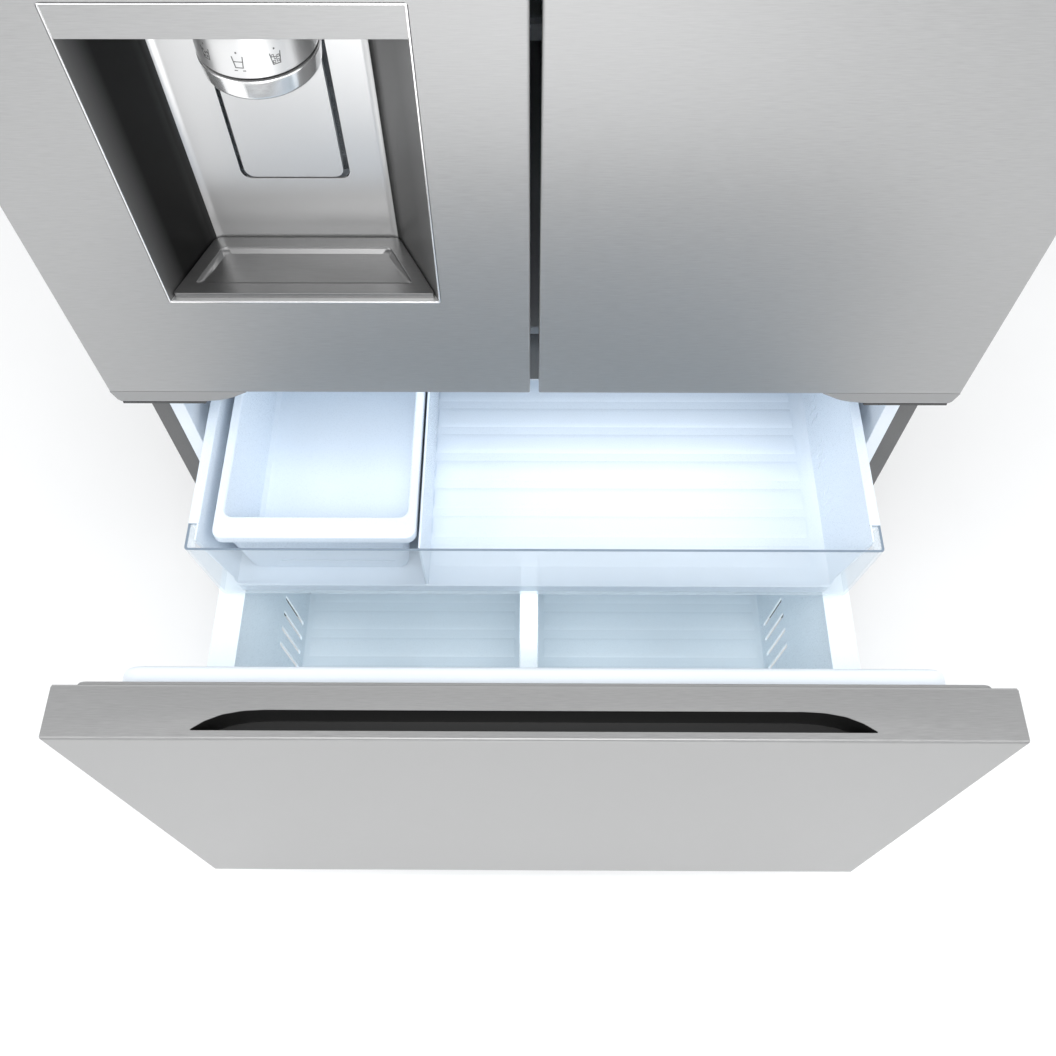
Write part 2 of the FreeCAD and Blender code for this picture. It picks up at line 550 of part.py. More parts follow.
def build_cooling():
    """Evaporator with its cover and fan, and the compressor compartment."""
    node("evaporator", finned_coil("evaporator_coil", both("235"), ("fridge_back - 48", "fridge_back"),
                                   ("step_top + 10", "fan_height - 72"), 18, 3, "5"))
    cover = block("cover_block", both("inner - 3"), ("cover_y", "fridge_back"), ("step_top", "freezer_roof"))
    inside = block("cover_inside", both("inner - 3 - plastic"), ("cover_y + plastic", "fridge_back + 1"),
                   ("step_top - 1", "freezer_roof + 1"))
    hole = rod("cover_hole", "fan_hole", "y", ("0", "fan_height"), ("cover_y - 1", "cover_y + 3"))
    slots = [block(f"cover_slot_{i}", (f"{-300 + 62 * i}", f"{-256 + 62 * i}"),
                   ("cover_y - 1", "cover_y + 3"),
                   ("step_top + 14", "step_top + 20")) for i in range(10)]
    arm = block("cover_arm", both("fan_hole + 6"), ("cover_y + 22", "cover_y + 26"),
                ("fan_height - 5", "fan_height + 5"))
    posts = [block(f"cover_post_{word}", across(side, "fan_hole + 1", "fan_hole + 9"),
                   ("cover_y + 1", "cover_y + 26"),
                   ("fan_height - 5", "fan_height + 5")) for word, side in SIDES.items()]
    motor = rod("cover_motor", "20", "y", ("0", "fan_height"), ("cover_y + 22", "cover_y + 46"))
    shaft = rod("cover_shaft", "fan_shaft", "y", ("0", "fan_height"), ("cover_y + 10", "cover_y + 24"))
    sheet = cut("cover_sheet", cover, inside, hole, *slots)
    node("evaporator_cover", fuse("cover", sheet, motor, shaft, arm, *posts))
    node("evaporator_fan", turned_fan("evaporator_fan_wheel", "y", ("0", "fan_height"), "cover_y + 20",
                                      "fan_radius"))

    floor = "base_low + 20"
    pot = fuse("pot", rod("pot_wall", "72", "z", ("210", "engine_y"), (f"{floor} + 34", f"{floor} + 132")),
               rod("pot_flange", "76", "z", ("210", "engine_y"), (f"{floor} + 96", f"{floor} + 100")),
               rod("pot_top", "72", "z", ("210", "engine_y"), (f"{floor} + 132", f"{floor} + 160"), "40"),
               rod("pot_low", "50", "z", ("210", "engine_y"), (f"{floor} + 14", f"{floor} + 34"), "72"),
               block("pot_plate", ("120", "300"), ("engine_y - 60", "engine_y + 60"),
                     (f"{floor} + 12", f"{floor} + 16")),
               block("pot_terminal", ("130", "160"), ("engine_y - 26", "engine_y + 26"),
                     (f"{floor} + 50", f"{floor} + 100")),
               *[rod(f"pot_foot_{i}", "12", "z", (x, y), (floor, f"{floor} + 13"))
                 for i, (x, y) in enumerate((a, b) for a in ("134", "286") for b in ("engine_y - 46",
                                                                                     "engine_y + 46"))])
    node("compressor", pot)
    coil = finned_coil("condenser_coil", ("-300", "-120"), ("engine_y - 66", "engine_y + 66"),
                       (f"{floor} + 40", f"{floor} + 190"), 16, 5, "5")
    stand = [block(f"condenser_stand_{i}", (x, f"{x} + 3"), ("engine_y - 50", "engine_y + 50"),
                   (floor, f"{floor} + 60"))
             for i, x in enumerate(("-303", "-120"))]
    wheel_z = f"{floor} + 112"
    shroud = block("shroud_block", ("-60", "-57"), ("engine_y - 80", "engine_y + 80"),
                   (floor, f"{floor} + 190"))
    shroud_hole = rod("shroud_hole", "blower_hole", "x", ("engine_y", wheel_z), ("-61", "-56"))
    bars = [block("shroud_bar", ("-57", "-54"), ("engine_y - 72", "engine_y + 72"),
                  (f"{wheel_z} - 6", f"{wheel_z} + 6")),
            block("shroud_link", ("-120", "-58"), ("engine_y - 78", "engine_y - 72"),
                  (f"{floor} + 2", f"{floor} + 52")),
            block("shroud_tie", ("-120", "-117"), ("engine_y - 78", "engine_y - 48"),
                  (f"{floor} + 2", f"{floor} + 52")),
            rod("shroud_motor", "24", "x", ("engine_y", wheel_z), ("-55", "-26")),
            rod("shroud_shaft", "fan_shaft", "x", ("engine_y", wheel_z), ("-68", "-54"))]
    node("condenser", fuse("condenser_unit", coil, *stand, cut("shroud", shroud, shroud_hole), *bars))
    node("condenser_fan", turned_fan("condenser_fan_wheel", "x", ("engine_y", wheel_z), "-58",
                                     "blower_radius"))
    node("drain_pan", tub("pan_tray", ("-296", "-124"), ("engine_y - 70", "engine_y + 70"),
                          (floor, f"{floor} + 24"),
                          "plastic"))
    valve_x, valve_z = "inlet_x", "inlet_z"
    node("water_valve", fuse(
        "valve", block("valve_body", (f"{valve_x} - 22", f"{valve_x} + 22"), ("back - 60", "back - 24"),
                       (f"{valve_z} - 18", f"{valve_z} + 18")),
        rod("valve_coil", "15", "z", (valve_x, "back - 42"), (f"{valve_z} + 17", f"{valve_z} + 58")),
        rod("valve_stub", "inlet_radius", "y", (valve_x, valve_z), ("back - 25", "back - sheet - 2")),
        block("valve_bracket", (f"{valve_x} - 22", f"{valve_x} + 22"), ("back - 60", "back - sheet"),
              (f"{valve_z} - 22", f"{valve_z} - 18"))))


def turned_fan(name, axis, centre, at, tip):
    """A fan whose open hub end is at the given place on its axis, facing its motor."""
    span = (f"{at} - fan_deep", at)
    wheel = fan(name, axis, centre, span, "16", tip)
    low = {"x": 0, "y": 1}[axis]
    middle = (number(span[0]) + number(span[1])) / 2
    spot = [number(centre[0]), number(centre[1])]
    spot.insert(low, middle)
    flip = FreeCAD.Placement(FreeCAD.Vector(), FreeCAD.Rotation(FreeCAD.Vector(0, 0, 1), 180),
                             FreeCAD.Vector(*spot))
    wheel.Placement = flip.multiply(wheel.Placement)
    return wheel


def rail_pair(name, near, y, z):
    return [block(f"{name}_{word}", across(side, near, f"{near} + rail_thick"), y, z) for word,
            side in SIDES.items()]


def bracketed(name, near, y, z):
    """Fixed rails with two brackets each that reach out to the compartment's wall."""
    pair = []
    for rail, (word, side) in zip(rail_pair(name, near, y, z), SIDES.items()):
        feet = [block(f"{name}_foot_{word}_{i}", across(side, f"{near} + rail_thick - 0.5", "inner"),
                      (start, f"{start} + rail_bracket"), (f"{z[0]} + 10", f"{z[0]} + 10 + 2*ledge"))
                for i, start in enumerate((f"{y[0]} + 20", f"{y[1]} - 20 - rail_bracket"))]
        pair.append(fuse(f"{name}_{word}_bracketed", rail, *feet))
    return pair


def build_rails():
    """Three-member slides of the drawer and two-member slides of the upper tray."""
    z = ("rail_low", "rail_low + rail_tall")
    tray_z = ("carrier_low", "carrier_low + rail_tall")
    rail_y = "front + rail_start"
    fixed = bracketed("outer_rail", "outer_rail_x", (rail_y, f"{rail_y} + rail_long"), z)
    fixed += bracketed("tray_rail", "tray_rail_x",
                       (f"{rail_y} + tray_rail_set", f"{rail_y} + tray_rail_long"), tray_z)
    node("cabinet_rails", group("fixed_rails", fixed))
    shift = "front + rail_start - drawer_open/2"
    node("middle_rails", group("moving_rails", rail_pair("middle_rail", "middle_rail_x",
                                                         (shift, f"{shift} + rail_long"), z)))
    start = "face + door_thick + freezer_dike"
    node("drawer_rails", group("inner_rails", rail_pair(
        "inner_rail", "inner_rail_x", (start, f"{start} + basket_long + 5"), ("rail_low",
                                                                              "basket_top - rim_thick"))))
    node("tray_carriers", group("carriers", rail_pair(
        "carrier", "carrier_x", ("tray_y + window_return + 2", "tray_y + tray_long"),
        ("carrier_low", "tray_top - rim_thick - slide_gap"))))


def build_drawer():
    """Freezer drawer front, its lining, seal, grip and basket."""
    back_y = "face + door_thick"
    panel = block("drawer_block", both("half"), ("face", f"{back_y} - plastic"), ("foot_gap", "drawer_top"))
    panel = rounded("drawer_round", panel, "edge_round",
                    lambda edge: edge.CenterOfMass.y < number("face + 1"))
    hollow = block("drawer_hollow", both("half - sheet"), ("face + sheet", back_y),
                   ("foot_gap + sheet", "drawer_top - sheet"))
    mouth = grip_outline("grip_mouth", "0", "drawer_top - 2*sheet", "drawer_top + 1")
    node("drawer_panel", cut("drawer_front", panel, hollow, mouth))
    trough = grip_outline("grip_outer", "plastic", "drawer_top - sheet - handle_deep", "drawer_top - sheet")
    inside = grip_outline("grip_inner", "0", "drawer_top - sheet - handle_deep + plastic", "drawer_top")
    node("handle_pocket", cut("grip", trough, inside))
    dike_low, dike_top = "freezer_floor + dike_low_gap", "freezer_roof - dike_top_gap"
    plate = block("drawer_plate", both("half - sheet/2"), (f"{back_y} - plastic", back_y),
                  ("foot_gap + sheet/2", "drawer_top - sheet/2"))
    dike = block("drawer_dike", both("dike_half"), (f"{back_y} - plastic", f"{back_y} + freezer_dike"),
                 (dike_low, dike_top))
    dike_hollow = block("drawer_dike_hollow", both("dike_half - plastic"),
                        (f"{back_y} - plastic - 1", f"{back_y} + freezer_dike - plastic"),
                        (f"{dike_low} + plastic", f"{dike_top} - plastic"))
    node("drawer_liner", cut("drawer_lining", fuse("drawer_lining_solid", plate, dike), dike_hollow))
    node("drawer_gasket", ring("drawer_seal", both("half - gasket_inset"),
                               (back_y, f"{back_y} + gasket_depth - gasket_gap"),
                               ("foot_gap + gasket_inset", "drawer_top - gasket_inset"), "gasket_width"))
    y = (f"{back_y} + freezer_dike", f"{back_y} + freezer_dike + basket_long")
    outer = flared("basket_outer", "basket_half + basket_wall", "basket_flare", y,
                   ("basket_bottom", "basket_top"))
    hollow = flared("basket_hollow", "basket_half", "basket_flare",
                    (f"{y[0]} + basket_wall", f"{y[1]} - basket_wall"),
                    ("basket_bottom + basket_wall", "basket_top + 1"))
    tank = cut("basket_tub", outer, hollow)
    rim_block = block("basket_rim_block", both("basket_rim"), y, ("basket_top - rim_thick", "basket_top"))
    rim_hole = block("basket_rim_hole", both("basket_half"),
                     (f"{y[0]} + basket_wall", f"{y[1]} - basket_wall"),
                     ("basket_top - rim_thick - 1", "basket_top + 1"))
    wall = block("basket_divider", ("divider_x - divider/2", "divider_x + divider/2"),
                 (f"{y[0]} + 1", f"{y[1]} - 1"), ("basket_bottom + 1", "basket_top - divider_drop"))
    wall_hollow = block("basket_divider_hollow",
                        ("divider_x - divider/2 + basket_wall", "divider_x + divider/2 - basket_wall"),
                        (f"{y[0]} - 1", f"{y[1]} + 1"),
                        ("basket_bottom - 1", "basket_top - divider_drop - basket_wall"))
    first = f"{y[0]} + vent_start"
    vents = [block(f"basket_vent_{i}", both("basket_rim - 20"),
                   (f"{first} + vent_pitch*{i}", f"{first} + vent_pitch*{i} + vent_high"),
                   ("basket_bottom + vent_lift", "basket_bottom + vent_lift + vent_long")) for i in range(4)]
    keep = block("basket_keep", both("basket_half - basket_flare - 10"), y,
                 ("basket_bottom + 1", "basket_top - 1"))
    vents = [cut(f"basket_vent_pair_{i}", vent, keep) for i, vent in enumerate(vents)]
    whole = fuse("basket_whole", tank, cut("basket_rim_ring", rim_block, rim_hole), wall)
    node("basket", cut("basket_cut", whole, wall_hollow, *vents))


def flared(name, half_top, flare, y, z):
    """A block whose two sides lean in towards its floor."""
    return prism(name, "xz", [(f"-({half_top})", z[1]), (half_top, z[1]), (f"{half_top} - {flare}", z[0]),
                              (f"-({half_top} - {flare})", z[0])], *y)


def grip_outline(name, grow, low, high):
    """The recessed grip's outline in plan: a long mouth whose back edge slopes to two tips."""
    points = (("-handle_half", "handle_front"), ("handle_half", "handle_front"),
              ("handle_half", "handle_front + 2"), ("handle_back_half", "handle_rear"),
              ("-handle_back_half", "handle_rear"), ("-handle_half", "handle_front + 2"))
    signs = ((-1, -1), (1, -1), (1, 0.4), (1, 1), (-1, 1), (-1, 0.4))
    grown = [(f"{x} + {grow}*{sx}", f"face + {y} + {grow}*{sy}") for (x, y), (sx, sy) in zip(points, signs)]
    return prism(name, "xy", grown, low, high)


def build_tray():
    """Sliding upper tray with a clear front and a lift-out ice bin."""
    y = ("tray_y", "tray_y + tray_long")
    wall_x = "tray_half - tray_rim"
    body_y = "tray_y + window_thick"
    outer = flared("tray_outer", f"{wall_x} + tray_wall", "tray_flare", (body_y, y[1]),
                   ("tray_bottom", "tray_top"))
    hollow = flared("tray_hollow", wall_x, "tray_flare", (f"{body_y} + tray_wall", f"{y[1]} - tray_wall"),
                    ("tray_bottom + tray_wall", "tray_top + 1"))
    slots = [block(f"tray_slot_{i}_{j}_{k}", both(f"{wall_x} + tray_wall + 1"),
                   (f"{start} + slot_pitch*{j}", f"{start} + slot_pitch*{j} + slot_wide"),
                   (f"tray_bottom + slot_lift + slot_rise*{k}",
                    f"tray_bottom + slot_lift + slot_rise*{k} + slot_tall"))
             for i, start in enumerate(f"tray_y + {share}*tray_long" for share in (0.21, 0.355, 0.50))
             for j in range(3) for k in range(2)]
    core = block("tray_slot_core", both(f"{wall_x} - tray_flare - 10"), y, ("tray_bottom", "tray_top"))
    pierced = cut("tray_slots", fuse("tray_slot_bars", *slots), core)
    tank = cut("tray_tub", outer, hollow, pierced)
    low_front = block("tray_low_front", both(wall_x), (f"{body_y} - 1", f"{body_y} + tray_wall + 1"),
                      ("tray_bottom + 16", "tray_top + 1"))
    rim_y = "tray_y + window_return"
    rims = [block(f"tray_rim_{word}", across(side, wall_x, "tray_half"), (rim_y, y[1]),
                  ("tray_top - rim_thick", "tray_top"))
            for word, side in SIDES.items()]
    spine = block("tray_partition", ("-ice_bin_near + 3", "-ice_bin_near + 6"),
                  (f"{body_y} + 3", f"{y[1]} - 2"),
                  ("tray_bottom + 1", "tray_top - 6"))
    whole = fuse("tray_whole", cut("tray_open_front", tank, low_front), *rims, spine)
    node("tray", whole)
    pane = block("window_block", both("tray_half"), ("tray_y", rim_y), ("tray_bottom", "tray_top"))
    gap = block("window_gap", both("tray_half - window_thick"), (body_y, f"{rim_y} + 1"),
                ("tray_bottom - 1", "tray_top + 1"))
    flanges = [block(f"window_flange_{word}", across(side, f"{wall_x} + tray_wall",
                                                     "tray_half - window_thick + 1"),
                     ("tray_y + 1", rim_y), ("tray_top - window_thick",
                                             "tray_top")) for word, side in SIDES.items()]
    node("tray_window", fuse("window_flanged", cut("window", pane, gap), *flanges))
    bin_x = ("-ice_bin_far", "-ice_bin_near")
    bin_y = ("tray_y + ice_bin_set", "tray_y + ice_bin_set + ice_bin_long")
    floor = "tray_bottom + tray_wall"
    outer = block("ice_bin_outer", ("-ice_bin_far + ice_bin_rim", "-ice_bin_near - ice_bin_rim"),
                  (f"{bin_y[0]} + ice_bin_rim", f"{bin_y[1]} - ice_bin_rim"), (floor, "tray_top - 1"))
    collar = block("ice_bin_collar", bin_x, bin_y, ("tray_top - 14", "tray_top - 1"))
    hollow = block("ice_bin_hollow", ("-ice_bin_far + ice_bin_rim + 2", "-ice_bin_near - ice_bin_rim - 2"),
                   (f"{bin_y[0]} + ice_bin_rim + 2",
                    f"{bin_y[1]} - ice_bin_rim - 2"), (f"{floor} + tray_wall", "tray_top"))
    under = ring_collar("ice_bin_under", bin_x, bin_y)
    node("freezer_ice_bin", cut("ice_bin", fuse("ice_bin_solid", outer, collar), hollow, under))


def ring_collar(name, x, y):
    """The hollow under an ice bin's rolled rim."""
    outer = block(f"{name}_outer", (f"{x[0]} + 2", f"{x[1]} - 2"), (f"{y[0]} + 2", f"{y[1]} - 2"),
                  ("tray_top - 15", "tray_top - 3"))
    core = block(f"{name}_core", (f"{x[0]} + ice_bin_rim", f"{x[1]} - ice_bin_rim"),
                 (f"{y[0]} + ice_bin_rim", f"{y[1]} - ice_bin_rim"), ("tray_top - 16", "tray_top - 2"))
    return cut(name, outer, core)


def build_door(word):
    side = SIDES[word]
    left = side < 0
    x = across(side, "door_gap/2", "half")
    panel = block(f"{word}_door_block", x, ("front", "door_back - plastic"), ("door_low", "door_high"))
    panel = rounded(f"{word}_door_round", panel, "edge_round",
                    lambda edge: edge.CenterOfMass.y < number("front + 1"))
    tools = [block(f"{word}_door_hollow", (f"{x[0]} + sheet", f"{x[1]} - sheet"),
                   ("front + sheet", "door_back"),
                   ("door_low + sheet", "door_high - sheet")),
             rod(f"{word}_door_hole", "top_pin + 2", "z", (f"{side}*hinge_x", "hinge_y"),
                 ("door_high - 2*sheet", "door_high + 1"))]
    if left:
        tools.append(block("dispenser_window", ("-disp_far", "-disp_near"), ("front - 1", "front + 2*sheet"),
                           ("door_low + disp_low", "door_low + disp_high")))
    node(f"{word}_door_panel", cut(f"{word}_door_skin", panel, *tools))

    plate = block(f"{word}_lining_plate", (f"{x[0]} + sheet/2", f"{x[1]} - sheet/2"),
                  ("door_back - plastic", "door_back"),
                  ("door_low + sheet/2", "door_high - sheet/2"))
    ridge_x = across(side, "dike_middle", "inner - dike_gap")
    ridge_z = ("fridge_floor + dike_gap", "fridge_roof - dike_gap")
    ridge = ring(f"{word}_ridge", ridge_x, ("door_back - plastic", "door_back + dike_depth"), ridge_z,
                 "dike_width")
    inset = [(f"{a[0]} + plastic", f"{a[1]} - plastic") for a in (ridge_x, ridge_z)]
    core = ring(f"{word}_ridge_core", inset[0],
                ("door_back - plastic - 1", "door_back + dike_depth - plastic"),
                inset[1], "dike_width - 2*plastic")
    solids, voids = [plate, ridge], [core]
    if left:
        room = [("-disp_far - housing", "-disp_near + housing"),
                ("door_back - plastic", "front + housing_deep"),
                ("door_low + disp_low - housing", "door_low + disp_high + housing")]
        solids.append(block("housing_outer", *room))
        voids.append(block("housing_inner", ("-disp_far - housing + plastic",
                                             "-disp_near + housing - plastic"),
                           ("door_back - plastic - 1", "front + housing_deep - plastic"),
                           ("door_low + disp_low - housing + plastic",
                            "door_low + disp_high + housing - plastic")))
        for end, (low, high) in enumerate((("flap_low - 1 - flap_lug", "flap_low - 1"),
                                           ("flap_high + 1", "flap_high + 1 + flap_lug"))):
            solids.append(block(f"flap_lug_{end}", ("-dike_middle - 1.9", "flap_x + 7"),
                                ("flap_y - 8", "flap_y + 8"),
                                (low, high)))
            voids.append(rod(f"flap_bore_{end}", "flap_pin + running", "z", ("flap_x", "flap_y"),
                             (f"{low} - 1", f"{high} + 1")))
    node(f"{word}_door_liner", cut(f"{word}_lining", fuse(f"{word}_lining_solid", *solids), *voids))
    node(f"{word}_door_gasket", ring(f"{word}_seal",
                                     across(side, "door_gap/2 + 12", "half - gasket_inset - 6"),
                                     ("door_back", "rim - gasket_gap"),
                                     ("door_low + gasket_inset", "door_high - gasket_inset"), "gasket_width"))
    shelf_x = across(side, "dike_middle + dike_width", "inner - dike_gap - dike_width")
    middle = () if left else ("second_bin", "third_bin")
    levels = ["fridge_floor + dike_gap + dike_width + bin_lift",
              *(f"door_low + {share}*(door_high - door_low)" for share in middle), "door_high - top_bin_drop"]
    bins = []
    for i, low in enumerate(levels):
        tall = "bin_height - bin_less" if left and i == 0 else "bin_height"
        bins.append(tub(f"{word}_bin_{i}", shelf_x, ("door_back", "door_back + bin_depth"),
                        (low, f"{low} + {tall}"), "bin_wall"))
    node(f"{word}_door_bins", group(f"{word}_bins", bins))

    foot = prism(f"{word}_foot_block", "xz",
                 [(f"{side}*half", "door_low"), (f"{side}*half", "door_low - cap_height"),
                  (f"{side}*(half - cap_flat)", "door_low - cap_height"), (f"{side}*(half - cap_width)",
                                                                           "door_low")],
                 "front", "door_back - plastic")
    foot_bore = rod(f"{word}_foot_bore", "low_pin + running", "z", (f"{side}*hinge_x", "hinge_y"),
                    ("door_low - cap_height - 1", "door_low + 1"))
    bush = block(f"{word}_bush_block", across(side, "half - 48", "half - sheet"),
                 ("front + sheet", "door_back - plastic"),
                 ("door_high - sheet - 26", "door_high - sheet"))
    bush_bore = rod(f"{word}_bush_bore", "top_pin + running", "z", (f"{side}*hinge_x", "hinge_y"),
                    ("door_high - sheet - 27", "door_high + 1"))
    node(f"{word}_door_caps", group(f"{word}_caps", [cut(f"{word}_foot", foot, foot_bore),
                                                    cut(f"{word}_bush", bush, bush_bore)]))


def recess_outline(name, inset, deep, low, high):
    """The dispenser recess in plan: a trapezium that narrows towards its back."""
    return prism(name, "xy", [(f"-disp_far + {inset}", "front"), (f"-disp_near - ({inset})", "front"),
                              (f"-disp_near - disp_taper_near*({deep})/disp_deep - ({inset})",
                               f"front + {deep}"),
                              (f"-disp_far + disp_taper_far*({deep})/disp_deep + {inset}",
                               f"front + {deep}")],
                 f"door_low + {low}", f"door_low + {high}")


def build_dispenser():
    """Recess, spout, paddle and drip tray in the left door."""
    bar_low = "disp_high - disp_bar"
    outer = recess_outline("recess_outer", "0", "disp_deep", "disp_low", "disp_high")
    mouth = prism("recess_inner", "xy", [("-disp_far + disp_wall", "front - 1"),
                                         ("-disp_near - disp_wall", "front - 1"),
                                         ("-disp_near - disp_taper_near - disp_wall",
                                          "front + disp_deep - disp_wall"),
                                         ("-disp_far + disp_taper_far + disp_wall",
                                          "front + disp_deep - disp_wall")],
                  "door_low + disp_low + disp_wall", f"door_low + {bar_low}")
    bar = block("recess_bar_hollow", ("-disp_far + disp_taper_far + 6", "-disp_near - disp_taper_near - 6"),
                ("front + disp_wall", "front + disp_deep + 1"),
                (f"door_low + {bar_low} + disp_wall", "door_low + disp_high - disp_wall"))
    window = block("paddle_window", ("-paddle_far - paddle_gap", "-paddle_near + paddle_gap"),
                   ("front + disp_deep - 2*disp_wall", "front + disp_deep + 1"),
                   ("door_low + paddle_low - paddle_gap", "door_low + paddle_high + paddle_gap"))
    pivot_y, pivot_z = "front + disp_deep", "door_low + paddle_high - 4"
    ears = [block(f"paddle_ear_{i}", x, ("front + disp_deep - disp_wall", "front + disp_deep + 6"),
                  (f"{pivot_z} - 8", f"{pivot_z} + 8"))
            for i, x in enumerate((("-paddle_far - paddle_gap - 5", "-paddle_far - 1"),
                                   ("-paddle_near + 1", "-paddle_near + paddle_gap + 5")))]
    bore = rod("paddle_bore", "paddle_pin + running", "x", (pivot_y, pivot_z),
               ("-paddle_far - paddle_gap - 6", "-paddle_near + paddle_gap + 6"))
    chute = rod("chute_hole", "chute", "z", ("-drum_x", "front + drum_deep"),
                (f"door_low + {bar_low} - 1", "door_low + disp_high + 1"))
    shell = cut("recess_shell", outer, mouth, bar, window, chute)
    node("dispenser_recess", cut("recess", fuse("recess_ears", shell, *ears), bore))
    centre = ("-drum_x", "front + drum_deep")
    drum = fuse("drum_solid",
                rod("drum_upper", "drum_radius", "z", centre,
                    ("door_low + drum_low + ring_height + 2", f"door_low + {bar_low}")),
                rod("drum_neck", "drum_radius - 3", "z", centre,
                    ("door_low + drum_low + 1", f"door_low + {bar_low} - 1")),
                rod("drum_ring", "drum_radius - 1.5", "z", centre,
                    ("door_low + drum_low", "door_low + drum_low + ring_height"),
                    "drum_radius"))
    behind = block("drum_behind", ("-drum_x - drum_radius - 1", "-drum_x + drum_radius + 1"),
                   ("front + disp_deep - disp_wall - 1", "front + drum_deep + drum_radius + 1"),
                   ("door_low + drum_low - 1", f"door_low + {bar_low} + 1"))
    spout = rod("drum_spout", "chute", "z", centre, ("door_low + drum_low - 1", f"door_low + {bar_low} + 1"))
    node("nozzle_drum", cut("drum", drum, behind, spout))
    plate = block("paddle_plate", ("-paddle_far", "-paddle_near"),
                  ("front + disp_deep - disp_wall", "front + disp_deep - disp_wall + paddle_thick"),
                  ("door_low + paddle_low", "door_low + paddle_high"))
    pins = rod("paddle_pins", "paddle_pin", "x", (pivot_y, pivot_z),
               ("-paddle_far - paddle_gap - 4", "-paddle_near + paddle_gap + 4"))
    slots = [block(f"paddle_slot_{i}", x, ("front + disp_deep - 2*disp_wall", "front + disp_deep + 9"),
                   (f"{pivot_z} - 9", f"{pivot_z} + 9"))
             for i, x in enumerate((("-paddle_far - 1", "-paddle_far + 0.5"),
                                    ("-paddle_near - 0.5", "-paddle_near + 1")))]
    node("dispenser_paddle", fuse("paddle", cut("paddle_trimmed", plate, *slots), pins))
    tray_low = "disp_low + disp_wall"
    drip = recess_outline("drip_outer", "disp_wall + 1.5", "disp_deep - disp_wall - 1.5", tray_low,
                          f"{tray_low} + drip_height")
    front_trim = block("drip_trim", ("-disp_far", "-disp_near"), ("front - 1", "front + 4"),
                       (f"door_low + {tray_low} - 1", f"door_low + {tray_low} + drip_height + 1"))
    well = recess_outline("drip_well", "disp_wall + 14", "disp_deep - 16", f"{tray_low} + 2",
                          f"{tray_low} + drip_height + 1")
    well_trim = block("drip_well_trim", ("-disp_far", "-disp_near"), ("front - 1", "front + 14"),
                      (f"door_low + {tray_low} - 1", f"door_low + {tray_low} + drip_height + 2"))
    node("drip_tray", cut("drip", drip, front_trim, cut("drip_well_cut", well, well_trim)))
    maker_low, maker_high = "door_low + disp_high + ice_rise", "door_high - ice_drop"
    maker = block("maker_block", ("-ice_far", "-ice_near"), ("door_back", "rim + ice_deep"),
                  (maker_low, maker_high))
    room = block("maker_room", ("-ice_far + 4", "-ice_near - 4"), ("door_back + 4", "rim + ice_deep - 4"),
                 (f"{maker_low} + 4", f"{maker_high} - 4"))
    mould = block("maker_mould", ("-ice_far + 3", "-ice_near - 60"), ("door_back + 30", "door_back + 100"),
                  (f"{maker_high} - 70", f"{maker_high} - 30"))
    cells = [block(f"maker_cell_{i}", (f"-ice_far + {12 + 30 * i}", f"-ice_far + {36 + 30 * i}"),
                   ("door_back + 36", "door_back + 94"), (f"{maker_high} - 62", f"{maker_high} - 29"))
             for i in range(7)]
    exit_hole = rod("maker_exit", "chute", "z", centre, (f"{maker_low} - 1", f"{maker_low} + 6"))
    node("ice_maker", fuse("maker", cut("maker_shell", maker, room, exit_hole),
                           cut("maker_tray", mould, *cells)))


def build_flap():
    """Folding bar that closes the gap behind the doors, here folded back beside the left door's lining."""
    y_low = "flap_y - flap_pivot_in"
    bar = block("flap_block", ("flap_x - (flap_thick - flap_pivot_deep)", "flap_x + flap_pivot_deep"),
                (y_low, f"{y_low} + flap_width"), ("flap_low", "flap_high"))
    hollow = block("flap_hollow", ("flap_x - (flap_thick - flap_pivot_deep) + plastic",
                                   "flap_x + flap_pivot_deep - plastic"),
                   (f"{y_low} + 14", f"{y_low} + flap_width - plastic"), ("flap_low + plastic",
                                                                          "flap_high - plastic"))
    pin = rod("flap_pins", "flap_pin", "z", ("flap_x", "flap_y"),
              ("flap_low - flap_lug + 1", "flap_high + flap_lug - 1"))
    node("mullion_flap", fuse("flap", cut("flap_shell", bar, hollow), pin))


def write_parts():
    doc.recompute()
    faults = [f"{item.Label}: {item.getStatusString()}" for item in doc.Objects
              if "Invalid" in item.State or "Error" in item.State]
    if faults:
        raise RuntimeError("\n".join(faults))
    os.makedirs("parts", exist_ok=True)
    for item in NODES:
        if item.Shape.isNull() or not item.Shape.isValid():
            raise RuntimeError(f"{item.Label} has no valid shape")
        item.Shape.exportStep(f"parts/{item.Label}.step")
        print(f"{item.Label}: {len(item.Shape.Solids)} solids, {item.Shape.Volume / 1000:.1f} cm3")
    print(len(NODES), "nodes")


build_case()
build_base()
build_linings()
build_hinges()
build_fresh_food()
build_cooling()
build_rails()
build_drawer()
build_tray()
for door in SIDES:
    build_door(door)
build_dispenser()
build_flap()
write_parts()
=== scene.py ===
"""Looks of a french door refrigerator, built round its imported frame.

Shapes are worked out in millimetres and become metres when a mesh is made.
X is to the right, Y to the back and Z up, as in the frame; the freezer drawer stands open.
"""
import json
import math

import bmesh
import bpy
from mathutils import Matrix, Vector


